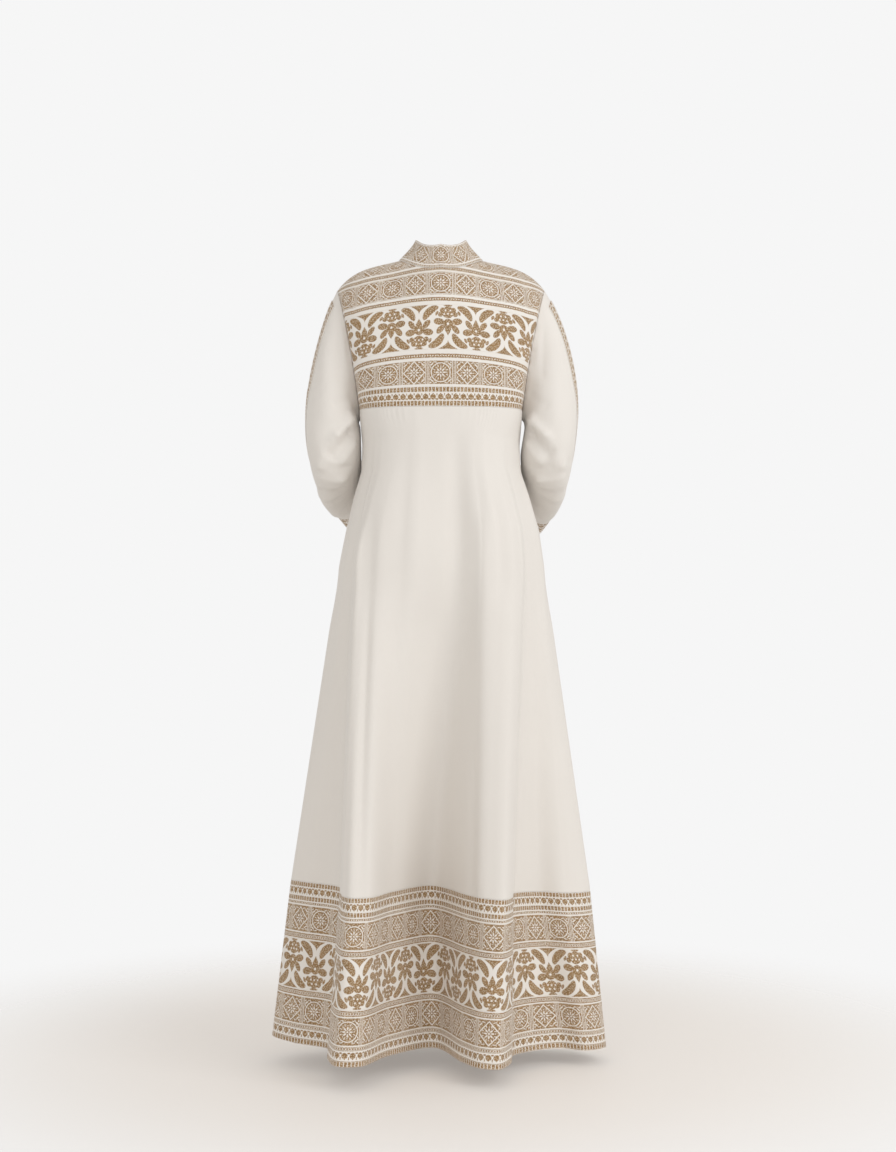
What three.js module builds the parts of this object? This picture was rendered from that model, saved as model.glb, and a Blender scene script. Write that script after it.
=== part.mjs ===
// A long abaya in its worn, hollow form: stand collar, patterned yokes, gathered A-line skirt,
// deep hem border, bell sleeves with cuffs, and a patterned strip along each overarm.
// Millimetres, +Z up. The wearer's front faces -Y and the wearer's left is +X.
// The origin lies between the shoulders, at the level of the side of the neck.

import * as THREE from "three";

// Cloth and seams
const WALL = 1.8; // thickness of the main cloth
const BAND_WALL = 1.2; // thickness of the strip on each overarm
const SEAM = 0.3; // gap between two sewn pieces
const HALF_SEAM = SEAM / 2;

// Driving dimensions of the body
const YOKE_BOTTOM_Z = -273; // straight lower edge of the yokes, level with the armholes' bottom
const BACK_DEPTH = 118; // how far the back stands behind the side seams
const FRONT_DEPTH = 128; // how far the chest stands before the side seams
const HIP_Z = -560; // the skirt's folds hang straight from here
const BORDER_Z = -1147; // seam between the skirt and its border
const HEM_Z = -1436;
const HEM_TILT = 0.037; // the worn hem hangs lower on the wearer's right

// Neck and collar
const NECK_HALF = 79;
const NECK_BACK = 86;
const NECK_FRONT = 90;
const COLLAR_TALL = 50;
const COLLAR_LEAN_SIDE = 39; // degrees from upright, towards the neck
const COLLAR_LEAN_BACK = 26;
const COLLAR_LEAN_FRONT = 33;

// Shoulder line: height over the distance from the neck's side to the tip
const SHOULDER_HALF = 191;
const SHOULDER_Z = 5; // at the neck's side
const SHOULDER_SLOPE = 0.2;
const TIP_DROP = 30;

// Armhole loop, on the wearer's left, as four points of an oval
const ARMHOLE = {
  over: [SHOULDER_HALF, 0, -47.4],
  under: [148, 0, -285],
  back: [166, 50, -160],
  front: [166, -50, -160],
};
const CORNER_DEG = 155; // where the yokes' lower corners lie round the armhole, from the shoulder
const YOKE_SQUARE = 2.5; // exponent of the rounded outline across the yoke

const rad = (deg) => (deg * Math.PI) / 180;
const mix = (a, b, t) => a + (b - a) * t;
const clamp01 = (t) => Math.min(1, Math.max(0, t));
const smooth = (t) => clamp01(t) ** 2 * (3 - 2 * clamp01(t));
const range = (n, from = 0, to = 1) => Array.from({ length: n + 1 }, (_, i) => mix(from, to, i / n));
const vec = (a) => new THREE.Vector3(...a);

// Value of one column of a table at a height, straight between its rows.
function column(table, name, z) {
  const last = table.length - 1;
  let k = 0;
  while (k < last - 1 && z < table[k + 1].z) k += 1;
  const t = clamp01((z - table[k].z) / (table[k + 1].z - table[k].z));
  return mix(table[k][name], table[k + 1][name], t);
}

// Torso rings below the yokes: half width, sideways shift, depths behind and before the side seams
const TORSO = [
  { z: -273, half: 148, shift: 0, back: 118, front: 128, square: 2.5 },
  { z: -330, half: 145, shift: 0, back: 119, front: 129, square: 2.45 },
  { z: -382, half: 147, shift: 0, back: 121, front: 130, square: 2.4 },
  { z: -430, half: 162, shift: -1, back: 125, front: 134, square: 2.35 },
  { z: -490, half: 178, shift: -3, back: 130, front: 138, square: 2.3 },
  { z: -560, half: 190, shift: -1, back: 134, front: 142, square: 2.25 },
];

// Folds of the skirt, once round from the left side seam over the back. Each row is a crest or a
// trough: where it leaves the yoke and the hip (degrees round), how far it stands out at the hip,
// and where it lies at the border's top and at the hem.
const FOLDS = [
  { name: "left side seam", yoke: 0, hip: 0, out: 0, borderX: 279, borderY: -4, hemX: 314, hemY: -4 },
  { name: "left recess", yoke: 16, hip: 17, out: -3, borderX: 247, borderY: 24, hemX: 270, hemY: 56 },
  { name: "left fold foot", yoke: 34, hip: 30, out: -6, borderX: 187, borderY: 64, hemX: 204, hemY: 96 },
  { name: "left fold flank", yoke: 41, hip: 36, out: 4, borderX: 179, borderY: 142, hemX: 200, hemY: 174 },
  { name: "left crest", yoke: 49, hip: 46, out: 14, borderX: 160, borderY: 200, hemX: 180, hemY: 230 },
  { name: "left crest inside", yoke: 59, hip: 57, out: 14, borderX: 128, borderY: 192, hemX: 142, hemY: 226 },
  { name: "left slope", yoke: 72, hip: 72, out: 1, borderX: 84, borderY: 98, hemX: 92, hemY: 132 },
  { name: "back valley", yoke: 96, hip: 98, out: -18, borderX: 17, borderY: 6, hemX: 13, hemY: 56 },
  { name: "right slope", yoke: 110, hip: 110, out: -2, borderX: -50, borderY: 112, hemX: -38, hemY: 160 },
  { name: "right crest inside", yoke: 118, hip: 118, out: 9, borderX: -84, borderY: 150, hemX: -68, hemY: 202 },
  { name: "right crest", yoke: 127, hip: 127, out: 12, borderX: -112, borderY: 155, hemX: -100, hemY: 208 },
  { name: "right fold flank", yoke: 137, hip: 136, out: 5, borderX: -129, borderY: 116, hemX: -124, hemY: 158 },
  { name: "right fold foot", yoke: 144, hip: 144, out: -5, borderX: -134, borderY: 62, hemX: -134, hemY: 88 },
  { name: "right recess", yoke: 154, hip: 153, out: -4, borderX: -178, borderY: 36, hemX: -217, hemY: 26 },
  { name: "right swell", yoke: 167, hip: 166, out: 0, borderX: -226, borderY: 42, hemX: -266, hemY: 38 },
  { name: "right side seam", yoke: 180, hip: 180, out: 0, borderX: -275, borderY: 0, hemX: -305, hemY: -5 },
  { name: "front right swell", yoke: 196, hip: 196, out: 1, borderX: -236, borderY: -66, hemX: -258, hemY: -82 },
  { name: "front right recess", yoke: 213, hip: 213, out: -4, borderX: -180, borderY: -90, hemX: -194, hemY: -102 },
  { name: "front right crest", yoke: 229, hip: 229, out: 7, borderX: -138, borderY: -142, hemX: -148, hemY: -166 },
  { name: "front right crest inside", yoke: 242, hip: 242, out: 7, borderX: -94, borderY: -160, hemX: -102, hemY: -188 },
  { name: "front right slope", yoke: 256, hip: 256, out: -3, borderX: -44, borderY: -136, hemX: -48, hemY: -154 },
  { name: "centre front", yoke: 270, hip: 270, out: 0, borderX: 0, borderY: -146, hemX: 0, hemY: -168 },
  { name: "front left slope", yoke: 285, hip: 285, out: -4, borderX: 46, borderY: -132, hemX: 52, hemY: -148 },
  { name: "front left crest inside", yoke: 298, hip: 298, out: 8, borderX: 90, borderY: -160, hemX: 98, hemY: -190 },
  { name: "front left crest", yoke: 311, hip: 311, out: 8, borderX: 132, borderY: -150, hemX: 144, hemY: -176 },
  { name: "front left recess", yoke: 328, hip: 328, out: -5, borderX: 178, borderY: -92, hemX: 192, hemY: -102 },
  { name: "front left swell", yoke: 344, hip: 344, out: 2, borderX: 240, borderY: -58, hemX: 264, hemY: -74 },
];
const RIGHT_SEAM = FOLDS.findIndex((f) => f.name === "right side seam");
const CENTRE_FRONT = FOLDS.findIndex((f) => f.name === "centre front");
const ROUND = FOLDS.length;

// Small gathers sewn in under the yokes: how many, over which stretch of folds, how deep and long
const BACK_GATHERS = { count: 24, from: 3.6, to: 10.2, deep: 1.1, long: 46 };
const RIGHT_FRONT_GATHERS = { count: 8, from: 17.5, to: 20.2, deep: 1, long: 40 };
const LEFT_FRONT_GATHERS = { count: 8, from: 21.8, to: 24.5, deep: 1, long: 40 };
const GATHER_RUN = 4; // columns for each gather

// Large creases pressed into or standing on the cloth: their ends, half width and height
const CREASES = [
  { name: "groove on the left fold", from: [128, 118, -420], to: [142, 195, -1180], wide: 11, high: -7 },
  { name: "rib by the left fold's edge", from: [146, 100, -470], to: [166, 178, -1180], wide: 9, high: 5 },
  { name: "soft rib down the right crest", from: [-80, 120, -470], to: [-74, 138, -1180], wide: 16, high: 6 },
  { name: "shade line in the valley", from: [-30, 128, -330], to: [-22, 118, -760], wide: 18, high: -7 },
];

// Sections of the left sleeve: the overarm, underarm, back and front point of each
const SLEEVE = [
  { name: "armhole", ...ARMHOLE },
  { name: "cap", over: [207, 0, -82], under: [151, 1, -291], back: [181, 56, -186], front: [180, -55, -184] },
  { name: "upper arm", over: [223, 2, -132], under: [149, 3, -300], back: [190, 61, -216], front: [189, -58, -212] },
  { name: "mid arm", over: [240, 4, -205], under: [147.8, 5, -311], back: [197, 65, -256], front: [196, -58, -248] },
  { name: "above elbow", over: [248, 7, -272], under: [147, 6, -330], back: [203, 67, -306], front: [203, -56, -292] },
  { name: "elbow", over: [247, 2, -326], under: [147, -4, -352], back: [207, 62, -358], front: [206, -66, -322] },
  { name: "below elbow", over: [239, -26, -368], under: [148.5, -34, -378], back: [208, 32, -405], front: [200, -84, -335] },
  { name: "forearm", over: [224, -72, -392], under: [147, -80, -396], back: [205, -46, -440], front: [186, -106, -340] },
  { name: "lower forearm", over: [215, -108, -401], under: [139, -113, -405], back: [196, -98, -455], front: [171, -131, -345] },
  { name: "cuff seam", over: [202, -140, -408], under: [129, -144, -412], back: [187, -138, -464], front: [158, -153, -349] },
  { name: "cuff edge", over: [186, -190, -418], under: [113, -192, -424], back: [174, -192, -482], front: [143, -193, -355] },
];
const CUFF_SEAM = SLEEVE.findIndex((s) => s.name === "cuff seam");
const CUFF_EDGE = SLEEVE.length - 1;
const AROUND_SLEEVE = 24;
// The overarm strip's rear edge, in degrees behind the overarm line: at the shoulder, and past the
// elbow, with the shares of the sleeve's length between which it turns
const STRIP_EDGE = { upper: 32, lower: 6, from: 0.25, to: 0.6 };
const STRIP_RUNS = 5; // columns of the sleeve that the strip covers
const SIDES = [
  { name: "left", sign: 1, fuller: 0, lower: 0, wider: 0, clear: 0 },
  { name: "right", sign: -1, fuller: 7, lower: 10, wider: 10, clear: 5 },
];
// Large creases of the left sleeve; the right one has them mirrored
const SLEEVE_CREASES = [
  { name: "fold from the armpit", from: [158, 52, -282], to: [194, 60, -322], wide: 9, high: 7 },
  { name: "fold down the arm", from: [188, 58, -316], to: [224, 46, -380], wide: 11, high: 6 },
  { name: "hollow under that fold", from: [162, 46, -310], to: [200, 56, -362], wide: 12, high: -8 },
  { name: "fold at the elbow", from: [160, 26, -404], to: [224, 30, -388], wide: 9, high: 7 },
  { name: "hollow under the elbow", from: [164, 2, -424], to: [222, 2, -412], wide: 10, high: -6 },
  { name: "inner elbow hollow", from: [170, -62, -318], to: [244, -50, -330], wide: 14, high: -9 },
  { name: "sag under the forearm", from: [216, -20, -420], to: [196, -120, -452], wide: 16, high: 6 },
];

// Finishes
const CREAM = new THREE.MeshStandardMaterial({ color: 0xdcd4ca, roughness: 0.85, metalness: 0 });
const PATTERNED = new THREE.MeshStandardMaterial({ color: 0xb39a7a, roughness: 0.88, metalness: 0 });

const garment = new THREE.Group();

// A closed oval through four points, at an angle from its overarm point towards its back point.
function ovalPoint(ring, deg) {
  const c = Math.cos(rad(deg));
  const s = Math.sin(rad(deg));
  const at = (i) => {
    const across = (ring.over[i] + ring.under[i]) / 2;
    const along = (ring.back[i] + ring.front[i]) / 2;
    const swing = ((ring.over[i] - ring.under[i]) / 2) * c + ((ring.back[i] - ring.front[i]) / 2) * s;
    return across * c * c + along * s * s + swing;
  };
  return new THREE.Vector3(at(0), at(1), at(2));
}

// The armhole's point at a height, on its back half (side 1) or its front half (side -1).
function armholeAt(z, side) {
  let low = 0;
  let high = 180;
  for (let i = 0; i < 40; i += 1) {
    const middle = (low + high) / 2;
    if (ovalPoint(ARMHOLE, middle).z > z) low = middle;
    else high = middle;
  }
  return ovalPoint(ARMHOLE, side * low);
}

function ridgeZ(x) {
  const past = Math.max(0, (Math.abs(x) - NECK_HALF) / (SHOULDER_HALF - NECK_HALF));
  return SHOULDER_Z - SHOULDER_SLOPE * (Math.abs(x) - NECK_HALF) - TIP_DROP * past ** 4;
}

// A point of the rounded shoulder surface. s runs from armhole to armhole, h from the yoke's lower
// edge (0) to the shoulder's ridge (1), and side is 1 for the back and -1 for the front.
function shoulderPoint(s, h, side) {
  const edgeTop = ARMHOLE.over[2];
  const edge = armholeAt(mix(YOKE_BOTTOM_Z, edgeTop, h), side);
  const depth = side > 0 ? BACK_DEPTH : FRONT_DEPTH;
  const squareAtCentre = side > 0 ? 3.2 : 2.1;
  const square = mix(squareAtCentre, 2.3, smooth(Math.abs(s) / 0.6));
  const stand = depth * (1 - clamp01(h) ** square) ** (1 / square);
  const round = (1 - Math.abs(s) ** YOKE_SQUARE) ** (1 / YOKE_SQUARE);
  const y = side * mix(Math.abs(edge.y), Math.max(stand, Math.abs(edge.y)), round);
  return new THREE.Vector3(s * edge.x, y, mix(YOKE_BOTTOM_Z, ridgeZ(s * SHOULDER_HALF), h));
}

// How high the neckline cuts a column of the shoulder surface; 1 where it meets the shoulder seam.
function necklineHeight(s, side) {
  const neckDepth = side > 0 ? NECK_BACK : NECK_FRONT;
  const inside = (h) => {
    const p = shoulderPoint(s, h, side);
    return (p.x / NECK_HALF) ** 2 + (p.y / neckDepth) ** 2 < 1;
  };
  let low = 0.3;
  let high = 1;
  if (!inside(high)) return 1;
  for (let i = 0; i < 40; i += 1) {
    const middle = (low + high) / 2;
    if (inside(middle)) high = middle;
    else low = middle;
  }
  return low;
}

// The neckline's point at an angle round the neck, from the left side over the back.
function necklinePoint(deg) {
  const side = Math.sin(rad(deg)) >= 0 ? 1 : -1;
  const x = NECK_HALF * Math.cos(rad(deg));
  let low = -1;
  let high = 1;
  for (let i = 0; i < 40; i += 1) {
    const middle = (low + high) / 2;
    if (shoulderPoint(middle, necklineHeight(middle, side), side).x < x) low = middle;
    else high = middle;
  }
  return shoulderPoint(low, necklineHeight(low, side), side);
}

// A closed wall of cloth between rows of points. Each point has its place u along the row, its
// outer point and its inner point; rows may have different numbers of points.
function clothWall(rows, { tube = false } = {}) {
  const position = [];
  const index = [];
  const at = rows.map((row) =>
    row.map((p) => {
      position.push(...p.outer.toArray(), ...p.inner.toArray());
      return { u: p.u, outer: position.length / 3 - 2, inner: position.length / 3 - 1 };
    }),
  );
  if (tube) at.forEach((row) => row.push({ ...row[0], u: row[0].u + 1e9 }));
  const zip = (a, b, face, turned) => {
    let i = 0;
    let j = 0;
    while (i < a.length - 1 || j < b.length - 1) {
      const stepA = j === b.length - 1 || (i < a.length - 1 && a[i + 1].u <= b[j + 1].u);
      const third = stepA ? a[i + 1] : b[j + 1];
      const corner = [a[i][face], third[face], b[j][face]];
      index.push(...(turned ? corner.reverse() : corner));
      if (stepA) i += 1;
      else j += 1;
    }
  };
  const rim = (line, turned) => {
    for (let i = 0; i < line.length - 1; i += 1) {
      const [p, q] = [line[i], line[i + 1]];
      const pair = [p.outer, p.inner, q.inner, p.outer, q.inner, q.outer];
      index.push(...(turned ? pair.reverse() : pair));
    }
  };
  for (let r = 0; r < at.length - 1; r += 1) {
    zip(at[r], at[r + 1], "outer", false);
    zip(at[r], at[r + 1], "inner", true);
  }
  rim(at[0], false);
  rim(at[at.length - 1], true);
  if (!tube) {
    rim(at.map((row) => row[0]), true);
    rim(at.map((row) => row[row.length - 1]), false);
  }
  let volume = 0;
  for (let i = 0; i < index.length; i += 3) {
    const [a, b, c] = index.slice(i, i + 3).map((k) => new THREE.Vector3().fromArray(position, k * 3));
    volume += a.dot(b.cross(c));
  }
  if (volume < 0) index.reverse();
  const geometry = new THREE.BufferGeometry();
  geometry.setAttribute("position", new THREE.Float32BufferAttribute(position, 3));
  geometry.setIndex(index);
  geometry.computeVertexNormals();
  return geometry;
}

function addPiece(name, geometry, material) {
  const mesh = new THREE.Mesh(geometry, material.clone());
  mesh.name = name;
  garment.add(mesh);
}

// Outward normal of a surface point(u, v), turned by a sign that suits the way u and v run.
function surfaceNormal(point, u, v, sign, stepU = 1e-3, stepV = 1e-3) {
  const alongU = point(u + stepU, v).sub(point(u - stepU, v));
  const alongV = point(u, v + stepV).sub(point(u, v - stepV));
  return alongU.cross(alongV).normalize().multiplyScalar(sign);
}

// How far the creases near a point raise it.
function creaseHeight(p, creases) {
  return creases.reduce((sum, crease) => {
    const from = vec(crease.from);
    const line = vec(crease.to).sub(from);
    const t = p.clone().sub(from).dot(line) / line.lengthSq();
    const near = from.clone().addScaledVector(line, clamp01(t));
    const fade = smooth(t / 0.2 + 0.5) * smooth((1 - t) / 0.2 + 0.5);
    return sum + crease.high * fade * Math.exp(-((p.distanceTo(near) / crease.wide) ** 2));
  }, 0);
}

// Directions in which the armhole's, neckline's and shoulder's edges have their thickness
function armholeInward(deg, towards) {
  const up = Math.max(0, Math.cos(rad(deg)));
  const side = smooth((Math.abs(deg) - 100) / 70);
  return new THREE.Vector3(-towards * side, -Math.sin(rad(deg)), -up).normalize();
}
const DOWN = new THREE.Vector3(0, 0, -1);

// Yokes
const YOKE_ROWS = [0, 0.1, 0.22, 0.36, 0.5, 0.64, 0.76, 0.86, 0.94, 1];
const NECK_CORNER = NECK_HALF / SHOULDER_HALF;
const YOKE_COLUMNS = [...range(9, 0, NECK_CORNER), ...range(8, NECK_CORNER, 1).slice(1)];

function yoke(name, side, columns) {
  const point = (s, h) => shoulderPoint(THREE.MathUtils.clamp(s, -1, 1), THREE.MathUtils.clamp(h, 0, 1), side);
  const rows = YOKE_ROWS.map((v) =>
    columns.map((s) => {
      const centreGap = s === 0 && side < 0 ? HALF_SEAM * Math.sign(columns[0] + columns[1]) : 0;
      const top = necklineHeight(s, side);
      const h = v * top;
      const outer = point(s, h);
      outer.x += centreGap;
      const atArmhole = Math.abs(s) > 0.999;
      const atShoulder = top > 0.999 && v === 1;
      if (atShoulder) outer.y += side * HALF_SEAM;
      let inward = surfaceNormal(point, s, Math.min(h, 0.985), -1, 0.004, 0.008);
      if (inward.y * side > 0) inward.negate();
      if (s === 0 && side < 0) inward.x = 0;
      if (atShoulder) inward = DOWN.clone();
      if (atArmhole) {
        const lowest = THREE.MathUtils.clamp((outer.z - ARMHOLE.over[2]) / (YOKE_BOTTOM_Z - ARMHOLE.over[2]), 0, 1);
        const deg = THREE.MathUtils.radToDeg(Math.acos(1 - 2 * lowest * (1 - Math.cos(rad(CORNER_DEG))) / 2));
        inward = armholeInward(deg, 1);
        inward.x *= Math.sign(s);
        inward.y = -side * Math.abs(inward.y);
      }
      const inner = outer.clone().addScaledVector(inward.normalize(), WALL);
      if (v === 0) inner.z = outer.z;
      return { u: s, outer, inner };
    }),
  );
  addPiece(name, clothWall(rows), PATTERNED);
}
const mirrored = YOKE_COLUMNS.slice(1).map((s) => -s).reverse();
yoke("yoke_back", 1, [...mirrored, ...YOKE_COLUMNS]);
yoke("yoke_front_left", -1, YOKE_COLUMNS);
yoke("yoke_front_right", -1, [...mirrored, 0]);

// Collar, open along the centre front
const COLLAR_ROWS = [0, 0.34, 0.68, 1];
const collarColumns = range(44, -90, 270);
const collarRows = COLLAR_ROWS.map((v) =>
  collarColumns.map((deg, i) => {
    const base = necklinePoint(deg === 270 ? -90 : deg);
    const s = Math.sin(rad(deg));
    const lean = rad(mix(COLLAR_LEAN_SIDE, s > 0 ? COLLAR_LEAN_BACK : COLLAR_LEAN_FRONT, s * s));
    const outward = new THREE.Vector3(base.x, base.y, 0).normalize();
    const curve = 1 - 0.12 * Math.sin(Math.PI * v);
    const outer = base.clone().addScaledVector(outward, -COLLAR_TALL * v * Math.sin(lean) / curve);
    outer.z += SEAM + 0.1 + COLLAR_TALL * v * Math.cos(lean);
    if (i === 0) outer.x += HALF_SEAM;
    if (i === collarColumns.length - 1) outer.x -= HALF_SEAM;
    const inner = outer.clone().addScaledVector(outward, -WALL);
    if (i === 0 || i === collarColumns.length - 1) inner.x = outer.x;
    return { u: deg, outer, inner };
  }),
);
addPiece("collar", clothWall(collarRows), PATTERNED);

// Skirt and border
function torsoRing(z, deg) {
  const c = Math.cos(rad(deg));
  const s = Math.sin(rad(deg));
  const power = 2 / column(TORSO, "square", z);
  const depth = column(TORSO, s > 0 ? "back" : "front", z);
  const x = column(TORSO, "shift", z) + column(TORSO, "half", z) * Math.sign(c) * Math.abs(c) ** power;
  return new THREE.Vector3(x, depth * Math.sign(s) * Math.abs(s) ** power, z);
}

// The line that the skirt's upper edge follows: the yokes' lower edges and the armholes' bottoms.
const ARMPIT_DEG = 10; // share of the turn, each side of a side seam, that lies under the armhole
function yokeEdge(deg) {
  const turn = ((deg % 360) + 360) % 360;
  const fromLeft = Math.min(turn, 360 - turn);
  const fromRight = Math.abs(turn - 180);
  const side = turn <= 180 ? 1 : -1;
  const nearest = Math.min(fromLeft, fromRight);
  const facing = fromLeft < fromRight ? 1 : -1;
  if (nearest < ARMPIT_DEG) {
    const p = ovalPoint(ARMHOLE, 180 - (180 - CORNER_DEG) * (nearest / ARMPIT_DEG));
    return new THREE.Vector3(facing * p.x, side * Math.abs(p.y), Math.min(p.z, YOKE_BOTTOM_Z));
  }
  const corner = ovalPoint(ARMHOLE, CORNER_DEG);
  const along = rad((nearest - ARMPIT_DEG) * (90 / (90 - ARMPIT_DEG)));
  const depth = side > 0 ? BACK_DEPTH : FRONT_DEPTH;
  const x = corner.x * Math.cos(along) ** (2 / YOKE_SQUARE);
  const y = corner.y + (depth - corner.y) * Math.sin(along) ** (2 / YOKE_SQUARE);
  return new THREE.Vector3(facing * x, side * y, YOKE_BOTTOM_Z);
}

const foldRow = (i) => FOLDS[((i % ROUND) + ROUND) % ROUND];
const foldDeg = (i, name) => foldRow(i)[name] + 360 * Math.floor(i / ROUND);

function hipPoint(i) {
  const row = foldRow(i);
  const p = torsoRing(HIP_Z, row.hip);
  p.x += row.out * Math.cos(rad(row.hip));
  p.y += row.out * Math.sin(rad(row.hip));
  return p;
}

// One fold's place at a height, along straight lines from hip to border to hem.
function foldAt(i, z) {
  const row = foldRow(i);
  const hip = hipPoint(i);
  if (z > BORDER_Z) {
    const t = (HIP_Z - z) / (HIP_Z - BORDER_Z);
    return new THREE.Vector3(mix(hip.x, row.borderX, t), mix(hip.y, row.borderY, t), z);
  }
  const t = (BORDER_Z - z) / (BORDER_Z - HEM_Z);
  return new THREE.Vector3(mix(row.borderX, row.hemX, t), mix(row.borderY, row.hemY, t), z);
}

function foldedRing(w, z) {
  const i = Math.floor(w);
  const curve = new THREE.CatmullRomCurve3([-1, 0, 1, 2].map((k) => foldAt(i + k, z)), false, "centripetal");
  return curve.getPoint((1 + w - i) / 3);
}

// The skirt's surface: w counts the folds round, z is the height.
const FOLD_BLEND_TOP = -470;
const FOLD_BLEND_BOTTOM = -680;
function skirtPoint(w, z) {
  const i = Math.floor(w);
  const f = w - i;
  const drop = smooth((YOKE_BOTTOM_Z - z) / (YOKE_BOTTOM_Z - HIP_Z));
  const yokeDeg = mix(foldDeg(i, "yoke"), foldDeg(i + 1, "yoke"), f);
  const deg = mix(yokeDeg, mix(foldDeg(i, "hip"), foldDeg(i + 1, "hip"), f), drop);
  const edge = yokeEdge(yokeDeg);
  const ring = torsoRing(Math.min(z, YOKE_BOTTOM_Z), deg);
  const settle = smooth((edge.z - z) / 60);
  const p = new THREE.Vector3(mix(edge.x, ring.x, settle), mix(edge.y, ring.y, settle), z);
  const out = mix(foldRow(i).out, foldRow(i + 1).out, smooth(f)) * smooth((-290 - z) / (-290 - HIP_Z));
  p.x += out * Math.cos(rad(deg));
  p.y += out * Math.sin(rad(deg));
  const blend = smooth((FOLD_BLEND_TOP - z) / (FOLD_BLEND_TOP - FOLD_BLEND_BOTTOM));
  return blend > 0 ? p.lerp(foldedRing(w, z), blend) : p;
}
const skirtNormal = (w, z) => surfaceNormal(skirtPoint, w, z, 1, 0.01, 1);

function skirtTopZ(w) {
  const i = Math.floor(w);
  return yokeEdge(mix(foldDeg(i, "yoke"), foldDeg(i + 1, "yoke"), w - i)).z - SEAM;
}
const tilted = (z) => (w) => z + HEM_TILT * skirtPoint(w, z).x;

function gatherHeight(w, below, gathers) {
  const t = (w - gathers.from) / (gathers.to - gathers.from);
  if (!gathers.count || t < 0 || t > 1 || below > gathers.long) return 0;
  const ends = smooth(t * 8) * smooth((1 - t) * 8);
  const along = (0.25 + 0.75 * smooth(below / 9)) * (1 - smooth(below / gathers.long));
  return gathers.deep * ends * along * Math.cos(2 * Math.PI * gathers.count * t);
}

// One panel of the skirt or its border, between two folds and two heights.
function skirtPanel(name, material, { from, to, top, bottom, levels, perFold, gathers = { count: 0 } }) {
  const plain = range(Math.round((to - from) * perFold), from, to);
  const fine = range(gathers.count * GATHER_RUN, gathers.from ?? 0, gathers.to ?? 0);
  const outside = plain.filter((w) => w < gathers.from - 0.12 || w > gathers.to + 0.12);
  const gathered = [...outside, ...fine].sort((a, b) => a - b);
  const rows = levels.map((level) => {
    const isFine = gathers.count > 0 && level.below <= gathers.long;
    const columns = isFine ? gathered : plain;
    return columns.map((w, k) => {
      const topZ = top(w);
      const z = level.below !== undefined ? topZ - level.below : mix(topZ, bottom(w), level.t);
      const perUnit = skirtPoint(w + 0.01, z).distanceTo(skirtPoint(w, z)) / 0.01;
      const seamShift = (k === 0 ? 1 : k === columns.length - 1 ? -1 : 0) * (HALF_SEAM / perUnit);
      const outer = skirtPoint(w + seamShift, z);
      const outward = skirtNormal(w, z);
      if (level.below === 0) outward.setZ(0).normalize();
      const high = creaseHeight(outer, CREASES) + gatherHeight(w, level.below ?? 1e3, gathers);
      outer.addScaledVector(outward, high);
      return { u: w, outer, inner: outer.clone().addScaledVector(outward, -WALL) };
    });
  });
  addPiece(name, clothWall(rows), material);
}

const SKIRT_LEVELS = [
  ...[0, 9, 22, 46].map((below) => ({ below })),
  ...[0.09, 0.13, 0.175, 0.22, 0.28, 0.36, 0.48, 0.64, 0.82, 1].map((t) => ({ t })),
];
const HEM_LEVELS = range(3).map((t) => ({ t }));
const PANELS = [
  { name: "back", from: 0, to: RIGHT_SEAM, perFold: 3, gathers: BACK_GATHERS },
  { name: "front_right", from: RIGHT_SEAM, to: CENTRE_FRONT, perFold: 3, gathers: RIGHT_FRONT_GATHERS },
  { name: "front_left", from: CENTRE_FRONT, to: ROUND, perFold: 3, gathers: LEFT_FRONT_GATHERS },
];
const borderTop = tilted(BORDER_Z);
for (const panel of PANELS) {
  skirtPanel("skirt_" + panel.name, CREAM, {
    ...panel,
    top: skirtTopZ,
    bottom: (w) => borderTop(w) + HALF_SEAM,
    levels: SKIRT_LEVELS,
  });
  skirtPanel("hem_band_" + panel.name, PATTERNED, {
    ...panel,
    gathers: { count: 0 },
    top: (w) => borderTop(w) - HALF_SEAM,
    bottom: tilted(HEM_Z),
    levels: HEM_LEVELS,
  });
}

// Sleeves, cuffs and overarm strips
function sleeveRings(side) {
  return SLEEVE.map((ring, i) => {
    const arm = i / CUFF_EDGE;
    const cap = smooth(i / 2) * (1 - smooth((i - 3) / 2));
    const drop = smooth((arm - 0.5) * 2);
    const bend = smooth((i - 0.5) / 1.5) * (1 - smooth((i - 3) / 2));
    const shifted = (p, name) => {
      const fuller = name === "over" ? side.fuller * cap : 0;
      const clear = name === "under" ? side.clear * bend : 0;
      return [p[0] + fuller + clear + side.wider * drop, p[1], p[2] - side.lower * drop * (name === "back" ? 1 : 0.4)];
    };
    return Object.fromEntries(["over", "under", "back", "front"].map((name) => [name, shifted(ring[name], name)]));
  });
}

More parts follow.
